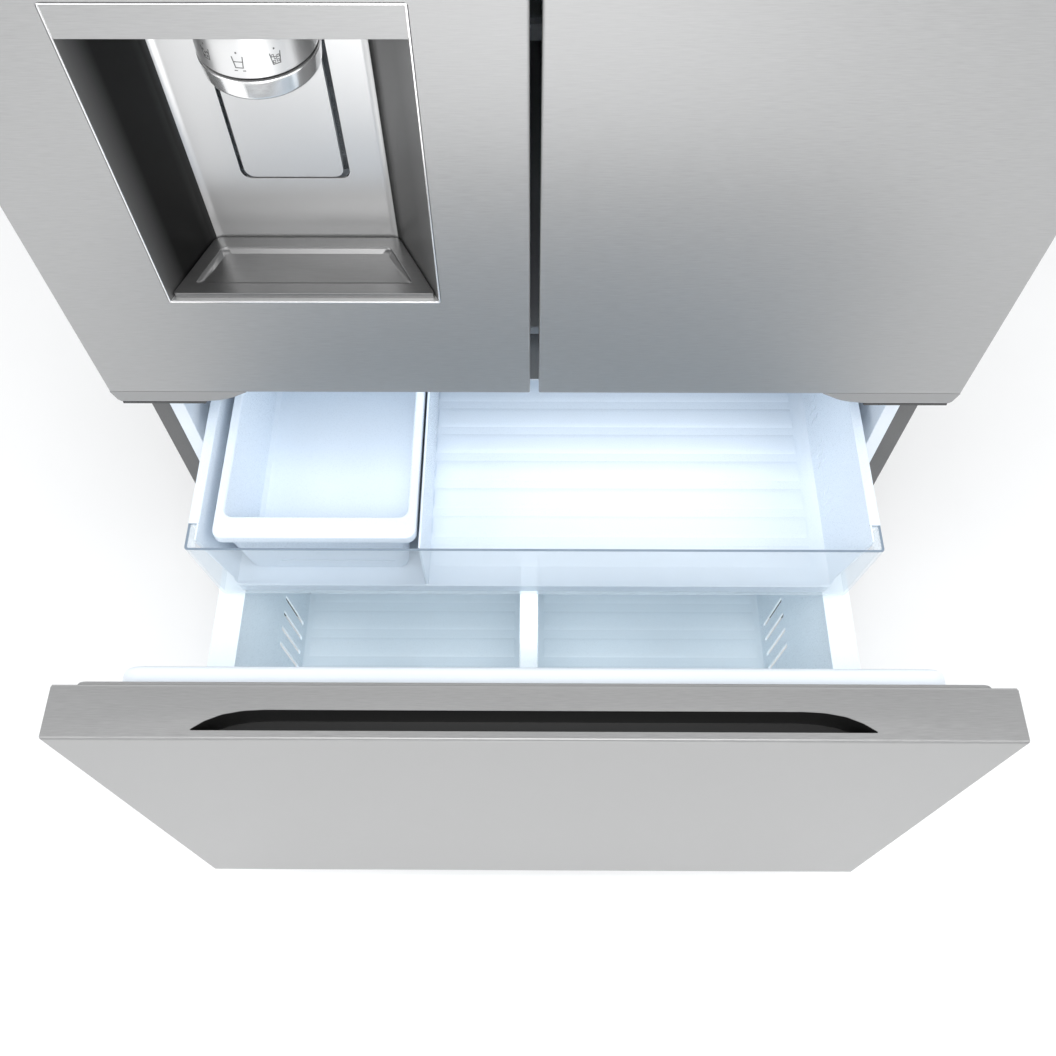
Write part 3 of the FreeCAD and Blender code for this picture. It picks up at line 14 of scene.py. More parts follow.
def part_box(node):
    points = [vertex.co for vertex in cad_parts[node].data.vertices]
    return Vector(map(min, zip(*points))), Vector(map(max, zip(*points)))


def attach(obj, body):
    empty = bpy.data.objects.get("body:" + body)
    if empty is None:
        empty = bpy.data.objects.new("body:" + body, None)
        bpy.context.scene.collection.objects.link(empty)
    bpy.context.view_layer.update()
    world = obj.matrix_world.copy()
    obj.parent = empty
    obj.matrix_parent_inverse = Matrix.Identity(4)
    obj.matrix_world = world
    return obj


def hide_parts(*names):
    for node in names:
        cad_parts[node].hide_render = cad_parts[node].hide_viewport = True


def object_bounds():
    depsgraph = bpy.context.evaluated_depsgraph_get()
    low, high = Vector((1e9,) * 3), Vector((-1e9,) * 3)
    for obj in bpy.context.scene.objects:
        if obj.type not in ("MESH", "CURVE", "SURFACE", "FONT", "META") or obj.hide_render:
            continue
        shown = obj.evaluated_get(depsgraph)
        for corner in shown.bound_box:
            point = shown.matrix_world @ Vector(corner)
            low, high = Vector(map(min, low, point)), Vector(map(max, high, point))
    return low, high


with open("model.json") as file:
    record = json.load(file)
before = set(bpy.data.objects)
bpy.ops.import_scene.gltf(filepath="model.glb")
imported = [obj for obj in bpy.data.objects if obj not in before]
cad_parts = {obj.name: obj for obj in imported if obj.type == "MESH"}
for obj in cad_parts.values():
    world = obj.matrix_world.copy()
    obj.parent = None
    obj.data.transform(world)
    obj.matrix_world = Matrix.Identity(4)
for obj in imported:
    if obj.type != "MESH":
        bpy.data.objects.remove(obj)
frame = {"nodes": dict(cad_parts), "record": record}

MM = 0.001
SIDES = {"left": -1, "right": 1}
cad_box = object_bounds()


def cad(node):
    """A node's lowest and highest corners, in millimetres."""
    low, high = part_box(node)
    return low / MM, high / MM


# ------------------------------------------------------------------ materials

class Nodes:
    """A material's node tree with short ways to add and join nodes."""

    def __init__(self, name, colour, roughness, metallic=0.0):
        self.material = bpy.data.materials.new(name)
        self.material.use_nodes = True
        self.tree = self.material.node_tree
        self.shader = self.tree.nodes["Principled BSDF"]
        self.set(**{"Base Color": (*colour, 1), "Roughness": roughness, "Metallic": metallic})

    def set(self, **values):
        for socket, value in values.items():
            self.shader.inputs[socket].default_value = value

    def add(self, kind, **sockets):
        made = self.tree.nodes.new(kind)
        for socket, value in sockets.items():
            made.inputs[socket.replace("_", " ")].default_value = value
        return made

    def join(self, source, target):
        self.tree.links.new(source, target)

    def place(self):
        """Coordinates in the piece's own metres."""
        return self.add("ShaderNodeTexCoord").outputs["Object"]

    def noise(self, scale, detail=3.0, stretch=(1, 1, 1), roughness=0.5):
        """Noise drawn out along the axes with a small stretch."""
        place = self.place()
        mapping = self.add("ShaderNodeMapping", Scale=stretch)
        noise = self.add("ShaderNodeTexNoise", Scale=scale, Detail=detail, Roughness=roughness)
        self.join(place, mapping.inputs["Vector"])
        self.join(mapping.outputs["Vector"], noise.inputs["Vector"])
        return noise.outputs["Fac"]

    def spread(self, source, low, high, start=0.3, end=0.7):
        """Map a noise value on to a range."""
        span = self.add("ShaderNodeMapRange")
        for socket, value in (("From Min", start), ("From Max", end), ("To Min", low), ("To Max", high)):
            span.inputs[socket].default_value = value
        self.join(source, span.inputs["Value"])
        return span.outputs["Result"]

    def tint(self, source, dark, light, start=0.3, end=0.7):
        """Base colour between two colours."""
        ramp = self.add("ShaderNodeValToRGB")
        ramp.color_ramp.elements[0].position, ramp.color_ramp.elements[1].position = start, end
        ramp.color_ramp.elements[0].color = (*dark, 1)
        ramp.color_ramp.elements[1].color = (*light, 1)
        self.join(source, ramp.inputs["Fac"])
        self.join(ramp.outputs["Color"], self.shader.inputs["Base Color"])

    def bump(self, source, height, strength=1.0):
        """Surface relief of about the given height in millimetres."""
        bump = self.add("ShaderNodeBump", Strength=strength, Distance=height * MM)
        self.join(source, bump.inputs["Height"])
        self.join(bump.outputs["Normal"], self.shader.inputs["Normal"])


def grey(level, blue=0.0):
    return (level * (1 - blue), level * (1 - blue / 2), level)


def brushed(name, level, rough=(0.34, 0.44), grain=(60, 1300, 1300), anisotropy=0.5, contrast=0.07,
            metallic=0.82):
    """Metal with fine scratches that run along X."""
    steel = Nodes(name, grey(level), rough[0], metallic)
    steel.set(Anisotropic=anisotropy)
    streaks = steel.noise(1.0, 3, grain, 0.55)
    steel.join(steel.spread(streaks, *rough), steel.shader.inputs["Roughness"])
    steel.tint(streaks, grey(level * (1 - contrast)), grey(level * (1 + contrast)))
    if anisotropy:
        steel.bump(streaks, 0.004, 0.3)
    return steel.material


def painted_recess_shading(name, front, middle, back, start, end):
    """Satin metal with painted reflection and shade: its tone changes with its depth in the recess, in
    millimetres along Y.
    """
    metal = Nodes(name, grey(middle), 0.34, 0.6)
    place, parts = metal.place(), metal.add("ShaderNodeSeparateXYZ")
    metal.join(place, parts.inputs["Vector"])
    depth = metal.spread(parts.outputs["Y"], 0, 1, start * MM, end * MM)
    metal.tint(depth, grey(front), grey(back), 0.0, 1.0)
    ramp = next(node for node in metal.tree.nodes if node.type == "VALTORGB")
    for position in (0.35, 0.80):
        ramp.color_ramp.elements.new(position).color = (*grey(middle), 1)
    metal.bump(metal.noise(600, 2), 0.004, 0.3)
    return metal.material


def moulded(name, colour, roughness=0.35, grain=900, relief=0.01, shade=0.96, **more):
    """Plastic with faint flow marks and a fine surface grain."""
    plastic = Nodes(name, colour, roughness)
    plastic.set(**more)
    flow = plastic.noise(5, 2)
    plastic.tint(flow, [c * shade for c in colour], colour)
    fine = plastic.noise(grain, 2)
    plastic.join(plastic.spread(fine, roughness * 0.9, roughness * 1.15), plastic.shader.inputs["Roughness"])
    plastic.bump(fine, relief, 0.4)
    return plastic.material


def painted(name, colour, roughness=0.45):
    """Textured enamel on sheet steel, like fine leather."""
    paint = Nodes(name, colour, roughness)
    place = paint.place()
    cells = paint.add("ShaderNodeTexVoronoi", Scale=700)
    paint.join(place, cells.inputs["Vector"])
    paint.tint(paint.noise(9, 3), [c * 0.93 for c in colour], colour)
    paint.join(paint.spread(cells.outputs["Distance"], roughness * 0.85, roughness * 1.2, 0, 0.8),
               paint.shader.inputs["Roughness"])
    paint.bump(cells.outputs["Distance"], 0.05, 0.5)
    return paint.material


def plated(name, level=0.6):
    """Zinc-plated sheet with soft spangle."""
    zinc = Nodes(name, grey(level, 0.03), 0.35, 1.0)
    place = zinc.place()
    spangle = zinc.add("ShaderNodeTexVoronoi", Scale=120)
    zinc.join(place, spangle.inputs["Vector"])
    zinc.tint(spangle.outputs["Distance"], grey(level * 0.85, 0.04), grey(level, 0.03), 0.1, 0.7)
    zinc.join(zinc.spread(zinc.noise(60, 4), 0.28, 0.5), zinc.shader.inputs["Roughness"])
    return zinc.material


def clear(name, colour, alpha, roughness=0.06):
    """See-through plastic or glass, faintly wavy."""
    pane = Nodes(name, colour, roughness)
    pane.set(**{"Alpha": alpha, "IOR": 1.5})
    pane.tint(pane.noise(6, 1), [c * 0.985 for c in colour], colour)
    pane.bump(pane.noise(25, 1), 0.02, 0.15)
    return pane.material


WHITE = (0.82, 0.88, 0.95)
ICE_WHITE = (0.81, 0.89, 0.975)
LOOKS = {
    "stainless": brushed("stainless_brushed", 0.375, metallic=0.62),
    "cabinet_paint": painted("case_enamel", grey(0.125)),
    "plated_steel": plated("zinc_plate"),
    "white_liner": moulded("liner_plastic", WHITE, 0.30),
    "white_bins": moulded("bin_plastic", ICE_WHITE, 0.28),
    "clear_plastic": clear("clear_plastic", (0.80, 0.88, 0.94), 0.24),
    "shelf_pane": clear("shelf_glass_pane", (0.62, 0.76, 0.74), 0.25, 0.03),
    "grey_trim": moulded("grey_trim_plastic", grey(0.30), 0.42),
    "dark_trim": moulded("dark_trim_plastic", grey(0.012), 0.38),
    "dispenser_metal": brushed("dispenser_satin", 0.74, (0.30, 0.33), (900, 900, 900), 0.0, 0.01),
    "foam": moulded("foam_rigid", (0.80, 0.70, 0.42), 0.9, 300, 0.4, 0.85),
    "black_steel": painted("black_enamel", grey(0.02), 0.3),
    "coil_aluminium": plated("coil_metal", 0.72),
    "fan_plastic": moulded("fan_grey_plastic", grey(0.62), 0.5),
    "roller_plastic": moulded("roller_dark_plastic", grey(0.03), 0.5),
}
# painted shade: a darker copy of the door stainless, to tone down the light on the drawer front
SHADED_DRAWER_STEEL = brushed("stainless_drawer_painted_shade", 0.31, metallic=0.62)
CHROME = brushed("rim_polished", 0.85, (0.14, 0.20), (90, 900, 900), 0.0, 0.02)
# painted shade: near black, put in gaps that would only be in shade
GAP_PAINTED_SHADE = moulded("gap_painted_shade", grey(0.006), 0.7)
GASKET = moulded("gasket_rubber", grey(0.33), 0.6, 500, 0.02)
DRIP_METAL = brushed("drip_tray_metal", 0.18, (0.28, 0.36), (60, 900, 900), 0.2, 0.05)
RECESS_FRONT, RECESS_BACK = -183, -105
# painted reflection and shade on the recess side walls: lighter at the front edge, darkest part way in, and
# darker on the left wall than on the right
LEFT_WALL_PAINTED_SHADE = painted_recess_shading("dispenser_left_wall_painted_shade", 0.17, 0.012, 0.05, RECESS_FRONT, RECESS_BACK)
RIGHT_WALL_PAINTED_SHADE = painted_recess_shading("dispenser_right_wall_painted_shade", 0.17, 0.10, 0.03, RECESS_FRONT, RECESS_BACK)
HINGE_DARK = painted("hinge_enamel", grey(0.05), 0.4)
INK = moulded("pictogram_ink", grey(0.10), 0.4)
# painted light: a brighter copy of the bin plastic, to lift the basket out of the shade under the tray
LIT_BASKET_WHITE = moulded("basket_plastic_painted_light", (0.86, 0.945, 1.0), 0.28)
RAIL_WHITE = moulded("rail_enamel", (0.80, 0.86, 0.92), 0.3)


# ------------------------------------------------------------------ outlines

def arc(corner, before, after, radius, steps):
    """Points of the arc that rounds the corner between two directions."""
    half = before.angle(after) / 2
    if radius <= 0 or math.pi / 2 - half < 1e-4:
        return [tuple(corner)] * (steps + 1)
    reach = radius / math.tan(half)
    centre = corner + (before + after).normalized() * radius / math.sin(half)
    start, end = corner + before * reach - centre, corner + after * reach - centre
    return [tuple(centre + start.slerp(end, k / steps).normalized() * radius) for k in range(steps + 1)]


def rounded(corners, radii=0.0, steps=5):
    """A closed flat outline with its corners rounded."""
    points = []
    for i, corner in enumerate(corners):
        here = Vector(corner)
        radius = radii[i] if hasattr(radii, "__len__") else radii
        before = (Vector(corners[i - 1]) - here).normalized()
        after = (Vector(corners[(i + 1) % len(corners)]) - here).normalized()
        points += arc(here, before, after, max(radius, 0.02), steps)
    return points


def bent(points, steps=4):
    """An open line of (inset, level, radius) with its inner corners rounded."""
    line = [tuple(points[0][:2])]
    for last, (inset, level, radius), following in zip(points, points[1:], points[2:]):
        here = Vector((inset, level))
        before = (Vector(last[:2]) - here).normalized()
        after = (Vector(following[:2]) - here).normalized()
        line += arc(here, before, after, radius, steps) if radius else [tuple(here)]
    return line + [tuple(points[-1][:2])]


def rectangle(x0, x1, y0, y1):
    return [(x0, y0), (x1, y0), (x1, y1), (x0, y1)]


def inset_corners(corners, distance):
    """The corners of an anticlockwise outline moved inwards by a distance."""
    moved = []
    for i, corner in enumerate(corners):
        here = Vector(corner)
        last = (here - Vector(corners[i - 1])).normalized()
        following = (Vector(corners[(i + 1) % len(corners)]) - here).normalized()
        normal_a, normal_b = Vector((-last.y, last.x)), Vector((-following.y, following.x))
        bisector = (normal_a + normal_b).normalized()
        moved.append(tuple(here + bisector * distance / bisector.dot(normal_a)))
    return moved


LIFT = {"xy": lambda a, b, c: (a, b, c), "xz": lambda a, b, c: (a, c, b), "yz": lambda a, b, c: (c, a, b)}


# ------------------------------------------------------------------ meshes

class Shape:
    """One mesh in the making, in millimetres."""

    def __init__(self):
        self.mesh = bmesh.new()

    def loft(self, loops, ring=False):
        """Join outlines of equal length into a skin, closed by two caps or into a ring."""
        rows = [[self.mesh.verts.new(p) for p in loop] for loop in loops]
        pairs = list(zip(rows, rows[1:])) + ([(rows[-1], rows[0])] if ring else [])
        for a, b in pairs:
            for i in range(len(a)):
                j = (i + 1) % len(a)
                self.mesh.faces.new((a[i], a[j], b[j], b[i]))
        if not ring:
            self.mesh.faces.new(rows[0][::-1])
            self.mesh.faces.new(rows[-1])
        return self

    def vessel(self, plane, corners, profile, radius=0.0, steps=5, ring=False):
        """Outlines set in by each inset, at each level, joined into a closed skin."""
        loops = []
        for inset, level in profile:
            outline = rounded(inset_corners(corners, inset), max(radius - inset, 0.1), steps)
            loops.append([LIFT[plane](a, b, level) for a, b in outline])
        return self.loft(loops, ring=ring)

    def slab(self, plane, outline, low, high):
        return self.loft([[LIFT[plane](a, b, level) for a, b in outline] for level in (low, high)])

    def box(self, x, y, z):
        return self.slab("xy", rectangle(*x, *y), *z)

    def turned(self, centre, profile, steps=64, axis="z"):
        """A solid of revolution from (radius, level) points."""
        plane = {"z": "xy", "y": "xz", "x": "yz"}[axis]
        loops = []
        for radius, level in profile:
            turns = [2 * math.pi * k / steps for k in range(steps)]
            loops.append([LIFT[plane](centre[0] + radius * math.cos(t), centre[1] + radius * math.sin(t),
                                      level) for t in turns])
        return self.loft(loops)

    def object(self, name):
        bmesh.ops.remove_doubles(self.mesh, verts=self.mesh.verts, dist=0.004)
        bmesh.ops.recalc_face_normals(self.mesh, faces=self.mesh.faces)
        self.mesh.transform(Matrix.Scale(MM, 4))
        data = bpy.data.meshes.new(name)
        self.mesh.to_mesh(data)
        self.mesh.free()
        made = bpy.data.objects.new(name, data)
        bpy.context.scene.collection.objects.link(made)
        return made


def settle(target):
    """Turn a mesh's modifiers into geometry."""
    bpy.context.view_layer.update()
    graph = bpy.context.evaluated_depsgraph_get()
    data = bpy.data.meshes.new_from_object(target.evaluated_get(graph))
    target.modifiers.clear()
    target.data = data


def carve(target, *tools, mode="DIFFERENCE"):
    """Cut shapes out of a mesh, or add them to it."""
    for tool in tools:
        cutter = tool.object("cutter")
        change = target.modifiers.new("cut", "BOOLEAN")
        change.object, change.operation, change.solver = cutter, mode, "EXACT"
        settle(target)
        bpy.data.objects.remove(cutter)
    return target


def piece(target, body, look, stands_for=(), edge=0.0, steps=2, crease=32):
    """Round the edges, give the material and fasten the piece to its body."""
    if isinstance(target, tuple):
        target = target[1].object(target[0])
    if edge:
        bevel = target.modifiers.new("edge", "BEVEL")
        bevel.width, bevel.segments, bevel.limit_method = edge * MM, steps, "ANGLE"
        bevel.angle_limit = math.radians(crease)
        settle(target)
    target.data.materials.clear()
    for one in look if isinstance(look, list) else [look]:
        target.data.materials.append(one)
    target.data.shade_smooth()
    target.data.set_sharp_from_angle(angle=math.radians(crease))
    weighted = target.modifiers.new("even_shading", "WEIGHTED_NORMAL")
    weighted.keep_sharp = True
    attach(target, body)
    if stands_for:
        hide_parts(*stands_for)
    return target


# ------------------------------------------------------------------ frame values

LEFT_LOW, LEFT_HIGH = cad("left_door_panel")
DRAWER_LOW, DRAWER_HIGH = cad("drawer_panel")
HALF = cad("right_door_panel")[1].x
FRONT, PANEL_BACK, DOOR_LOW = LEFT_LOW.y, LEFT_HIGH.y, LEFT_LOW.z
SHEET = 1.0
SPOUT_DEPTH, CHUTE_RADIUS = 50.0, 24
PLATE_HEM = 6


# ------------------------------------------------------------------ doors

def folded_skin(name, node, fold, steps):
    """Steel sheet folded back on all four sides of a panel, with rounded front edges."""
    low, high = cad(node)
    lap, corner = 12.0, 1.6
    outside = bent([(0, high.y, 0), (0, low.y, fold), (lap, low.y, 0)], steps)
    inside = [(lap, low.y + SHEET), (SHEET, low.y + SHEET), (SHEET, high.y)]
    corners = rectangle(low.x, high.x, low.z, high.z)
    return Shape().vessel("xz", corners, inside + outside, corner).object(name)


def door_skin(word):
    """A door's steel skin, open at the dispenser on the left door."""
    skin = folded_skin(f"{word}_door_skin", f"{word}_door_panel", 2.2, 5)
    if word == "left":
        low, high = cad("dispenser_recess")
        play, corner = 0.6, 3.0
        hole = rectangle(low.x - play, high.x + play, low.z - play, high.z + play)
        carve(skin, Shape().slab("xz", rounded(hole, corner), FRONT - 5, FRONT + 8))
    piece(skin, f"{word}_door", LOOKS["stainless"], [f"{word}_door_panel"])


def door_caps(word):
    """A door's end caps: a grey moulding below that sweeps up to the door, and a pin bush at the top."""
    side = SIDES[word]
    low, high = cad(f"{word}_door_caps")
    pin = (side * (HALF - 18), FRONT + 30)
    # the moulding's underside, by distance from the door's outer edge
    start, flat, knee, reach, knee_rise = 5, 97.0, 123.0, 147.0, 0.22
    corners = [(side * HALF, DOOR_LOW), (side * (HALF - start), low.z), (side * (HALF - flat), low.z),
               (side * (HALF - knee), low.z + knee_rise * (DOOR_LOW - low.z)),
               (side * (HALF - reach), DOOR_LOW)]
    outline = rounded(corners, [0.2, 6, 60, 60, 0.2], 8)
    foot = Shape().slab("xz", outline, FRONT + 0.4, PANEL_BACK).object(f"{word}_door_foot")
    foot_bore, bush_bore, bush_wide, bush_high = 5.05, 6.05, 48, 26
    carve(foot, Shape().turned(pin, [(foot_bore, low.z - 1), (foot_bore, DOOR_LOW - 1)], 32))
    piece(foot, f"{word}_door", LOOKS["grey_trim"], [f"{word}_door_caps"], 0.8, 3)
    x = sorted((side * (HALF - bush_wide), side * (HALF - SHEET)))
    bush = Shape().box(x, (FRONT + SHEET, PANEL_BACK), (high.z - bush_high, high.z))
    bush = bush.object(f"{word}_door_bush")
    carve(bush, Shape().turned(pin, [(bush_bore, high.z - bush_high - 1), (bush_bore, high.z + 1)], 32))
    piece(bush, f"{word}_door", LOOKS["grey_trim"], (), 0.8)


def gasket(name, node, body):
    """Magnetic seal: a bellows section swept round the opening."""
    low, high = cad(node)
    wide, deep, corner = 14.0, high.y - low.y, 12
    section = [(0, 0), (wide, 0), (wide - 1, 1.2), (wide - 4, 2.0), (wide - 4.5, 3.4), (wide - 1.5, 4.4),
               (wide - 0.6, deep - 1.2), (wide - 1.6, deep), (7.6, deep), (7.0, deep - 0.5), (6.4, deep),
               (1.6, deep), (0.6, deep - 1.2), (1.5, 4.4), (4.5, 3.4), (4, 2.0), (1, 1.2)]
    profile = [(inset, low.y + level) for inset, level in section]
    seal = Shape().vessel("xz", rectangle(low.x, high.x, low.z, high.z), profile, corner, 6, ring=True)
    piece((name, seal), body, GASKET, [node], crease=50)


# ------------------------------------------------------------------ dispenser

def dispenser():
    """The left door's recess with its rim, spout, push plate and drip tray."""
    low, high = cad("dispenser_recess")
    drum_low, drum_high = cad("nozzle_drum")
    paddle_low, paddle_high = cad("dispenser_paddle")
    wall, deep, rim, bar_high, corner = 2.5, 80.0, 1.5, 27.0, 13
    back_y, bar_z = FRONT + deep, high.z - bar_high
    # how far each side wall closes in over the depth
    slope_far, slope_near = 34.0 / deep, 43.0 / deep

    def plan(inset, front, back):
        """The pocket's outline in plan, from a front to a back depth."""
        def left(y):
            return low.x + inset + (y - FRONT) * slope_far

        def right(y):
            return high.x - inset - (y - FRONT) * slope_near
        return [(left(front), front), (right(front), front), (right(back), back), (left(back), back)]

    # walls: a block hollowed by a tapering pocket with rounded back corners
    shell = Shape().slab("xy", plan(0, FRONT, back_y), low.z, high.z).object("dispenser_recess_shell")
    pocket = rounded(plan(rim, FRONT - 6, back_y - wall), [0.1, 0.1, corner, corner], 8)
    carve(shell, Shape().slab("xy", pocket, low.z + wall, bar_z))
    # window round the push plate, with a wider gap on its right
    gap_left, gap_right, gap_ends = 3.6, 5.6, 2
    window = rectangle(paddle_low.x + PLATE_HEM - gap_left, paddle_high.x - PLATE_HEM + gap_right,
                       paddle_low.z - gap_ends, paddle_high.z + gap_ends)
    carve(shell, Shape().slab("xz", rounded(window, [9, 9, 4, 4]), back_y - 5, back_y + 4))
    centre = ((drum_low.x + drum_high.x) / 2, FRONT + SPOUT_DEPTH)
    carve(shell, Shape().turned(centre, [(CHUTE_RADIUS, bar_z - 1), (CHUTE_RADIUS, high.z + 1)]))
    piece(shell, "left_door", [LOOKS["dispenser_metal"], LEFT_WALL_PAINTED_SHADE, RIGHT_WALL_PAINTED_SHADE],
          ["dispenser_recess"], 0.35)
    # painted shade by facing: the wall facing +x takes the darker painted tone, the wall facing -x the
    # lighter one
    for face in shell.data.polygons:
        if abs(face.normal.x) > 0.55:
            face.material_index = 1 if face.normal.x > 0 else 2
    # flush top bar and the thin bright rim round the whole opening
    bar = Shape().box((low.x + rim, high.x - rim), (FRONT - 0.2, FRONT + 3), (bar_z - 1.2, high.z - rim))
    piece(("dispenser_top_bar", bar), "left_door", LOOKS["stainless"], (), 0.6)
    proud, soft, rim_deep = 0.5, 0.3, 4
    frame_profile = [(0, FRONT + rim_deep), (0, FRONT - proud + soft), (soft, FRONT - proud),
                     (rim - soft, FRONT - proud), (rim, FRONT - proud + soft), (rim, FRONT + rim_deep)]
    rim_shape = Shape().vessel("xz", rectangle(low.x, high.x, low.z, high.z), frame_profile, 2.5, ring=True)
    piece(("dispenser_rim", rim_shape), "left_door", CHROME)
    # painted shade: a near-black plate behind the window, out of the push plate's way, stands for the shade
    # in the gap
    shade_plate_y, past, past_ends = back_y + 16.0, 4, 8
    behind = Shape().box((paddle_low.x - past, paddle_high.x + past), (shade_plate_y, shade_plate_y + 1.0),
                         (paddle_low.z - past_ends, paddle_high.z + past_ends))
    piece(("paddle_shade_plate", behind), "left_door", GAP_PAINTED_SHADE, (), 0.2)
    drum(centre, drum_low.z, bar_z)
    paddle(paddle_low, paddle_high)
    drip_tray(plan, low.z + wall)


def drum(centre, low, top):
    """Ice and water spout: a band with three touch keys above a bright ring."""
    radius, ring_high = 48.0, 19.0
    seat, band_radius = low + ring_high, radius - 0.8
    body = [(CHUTE_RADIUS, top + 0.5), (band_radius, top + 0.5), (band_radius, seat + 3.2),
            (radius - 1.4, seat + 2.4), (radius - 4, seat + 2.2), (CHUTE_RADIUS, seat + 2.2)]
    upper = Shape().turned(centre, body, 96)
    piece(("spout_band", upper), "left_door", LOOKS["dispenser_metal"], ["nozzle_drum"])
    # painted shade: the recessed neck between band and ring is near black
    neck = [(26, seat + 3), (radius - 3, seat + 3), (radius - 3, low + 3), (26, low + 3)]
    piece(("spout_neck", Shape().turned(centre, neck, 96)), "left_door", GAP_PAINTED_SHADE)
    lip = bent([(25, low + 6, 0), (27, low, 2), (radius - 2.2, low, 5), (radius, seat, 1.2),
                (radius - 6, seat, 0)], 6)
    ring = Shape().turned(centre, lip + [(25, seat)], 96)
    piece(("spout_ring", ring), "left_door", CHROME)
    pictograms(centre, band_radius, seat + 8)


def stroke(shape, points, width, centre, radius, low, closed=False):
    """A fine raised line wrapped on the drum; points are (degrees round the drum from its front, height)."""
    relief, sunk = 0.15, 0.2
    flat = [Vector((math.radians(a) * radius, z)) for a, z in points]
    pairs = list(zip(flat, flat[1:])) + ([(flat[-1], flat[0])] if closed else [])
    for a, b in pairs:
        along = (b - a).normalized() * width / 2
        aside = Vector((-along.y, along.x))
        # the ends stand out a little less than the sides, so that two lines never share an edge
        along *= 0.9
        corners = [a - along - aside, b + along - aside, b + along + aside, a - along + aside]
        loops = []
        for reach in (radius - sunk, radius + relief):
            loops.append([(centre[0] + reach * math.sin(p.x / radius),
                           centre[1] - reach * math.cos(p.x / radius), low + p.y) for p in corners])
        shape.loft(loops)


def pictograms(centre, radius, low):
    """Generic marks for crushed ice, water and cubed ice, each under a dot."""
    ink = Shape()
    middle, spacing, width = -6.0, 34.0, 0.7

    def draw(at, points, closed=False, thick=width):
        spots = [(at + math.degrees(x / radius), z) for x, z in points]
        stroke(ink, spots, thick, centre, radius, low, closed)

    for key in (-1, 0, 1):
        at = middle + key * spacing
        draw(at, [(-0.01, 16.5), (0.01, 16.5)], thick=1.3)
        draw(at, [(-4, 13), (-2.8, 4), (2.8, 4), (4, 13)])
        if key == 0:
            draw(at, [(-3.4, 9), (3.4, 9)])
            draw(at, [(-4, 1.5), (4, 1.5)])
        else:
            half = 0.55 if key < 0 else 0.85
            for x, z in ((-1.6, 6), (1.4, 6.4), (-0.4, 9), (2.0, 10), (-2.2, 11)):
                draw(at, rectangle(x - half, x + half, z - half, z + half), True, 0.45)
    piece(("spout_pictograms", ink), "left_door", INK)


def paddle(low, high):
    """Push plate with rounded lower corners, hung on its pins."""
    pin, pin_drop = 2.5, 4
    plate = rectangle(low.x + PLATE_HEM, high.x - PLATE_HEM, low.z, high.z)
    shape = Shape().slab("xz", rounded(plate, [9, 9, 3, 3], 6), low.y, high.y).object("dispenser_push_plate")
    pins = Shape().turned((high.y - pin, high.z - pin_drop), [(pin, low.x), (pin, high.x)], 24, "x")
    carve(shape, pins, mode="UNION")
    piece(shape, "dispenser_paddle", LOOKS["dispenser_metal"], ["dispenser_paddle"], 0.5)


def drip_tray(plan, low):
    """Loose tray on the recess floor, with a sunk middle."""
    high, well, border = low + 6.0, 4.0, 13
    outline = plan(2.4, FRONT + 4, FRONT + 76)
    loops = []
    for inset, level in bent([(0, low, 0), (0, high, 1.0), (border, high, 0.6), (border + 1, high - 1.2, 0.6),
                              (border + 5, high - well, 0)], 3):
        corners = rounded(inset_corners(outline, inset), [2, 2, 8, 8], 6)
        loops.append([(a, b, level) for a, b in corners])
    piece(("drip_tray_insert", Shape().loft(loops)), "left_door", DRIP_METAL, ["drip_tray"])


def ice_maker():
    """Insulated ice compartment inside the left door: a rounded case with a lid, its latch and a chute."""
    low, high = cad("ice_maker")
    lid_thick, seam, wall, corner, soft = 16.0, 1.2, 4.0, 10, 0.6
    corners = rectangle(low.x, high.x, low.z, high.z)
    split = high.y - lid_thick
    outside = [(60, low.y), (0, low.y), (0, split - soft), (soft, split)]
    inside = [(wall, split), (wall, low.y + wall), (wall + 30, low.y + wall), (60, low.y + wall)]
    case = Shape().vessel("xz", corners, outside + inside, corner, 6).object("ice_maker_case")
    drum_low, drum_high = cad("nozzle_drum")
    chute = Shape().turned(((drum_low.x + drum_high.x) / 2, FRONT + SPOUT_DEPTH),
                           [(CHUTE_RADIUS, low.z - 1), (CHUTE_RADIUS, low.z + wall + 6)], 48)
    carve(case, chute)
    piece(case, "left_door", LOOKS["white_liner"], ["ice_maker"])
    lid_y = split + seam
    profile = bent([(soft, lid_y, 0), (0, lid_y + soft, 0), (0, high.y, 7), (40, high.y, 0)], 6)
    lid = Shape().vessel("xz", corners, [(40, lid_y)] + profile, corner, 6).object("ice_maker_lid")
    middle = (low.z + high.z) / 2
    grip = rounded(rectangle(high.x - 34, high.x - 14, middle - 34, middle + 34), 8, 5)
    carve(lid, Shape().slab("xz", grip, high.y - 8, high.y + 2))
    piece(lid, "left_door", LOOKS["white_liner"], (), 0.6)
    latch = rounded(rectangle(high.x - 32, high.x - 16, middle - 12, middle + 12), 4, 4)
    piece(("ice_maker_latch", Shape().slab("xz", latch, high.y - 8.2, high.y - 1.5)), "left_door",
          LOOKS["grey_trim"], (), 1.0)


# ------------------------------------------------------------------ freezer drawer

def grip_outline(grow):
    """The grip's mouth in plan: straight at the front, its back edge curving to two tips."""
    near, deep = DRAWER_LOW.y + 9.0 - grow, DRAWER_LOW.y + 29.0 + grow
    half = [(316.0 + grow, near, 0.5), (315.6 + grow, near + 1.4 + grow, 0.5),
            (304.0 + grow, near + 9.0 + 1.5 * grow, 14), (289.0 + grow, near + 15.2 + 1.8 * grow, 30),
            (270.0 + grow, near + 18.9 + 2 * grow, 60), (250.0 + grow, deep, 80)]
    corners = [(-x, y, r) for x, y, r in half[:1]] + half + [(-x, y, r) for x, y, r in half[:0:-1]]
    return rounded([c[:2] for c in corners], [c[2] for c in corners], 10)


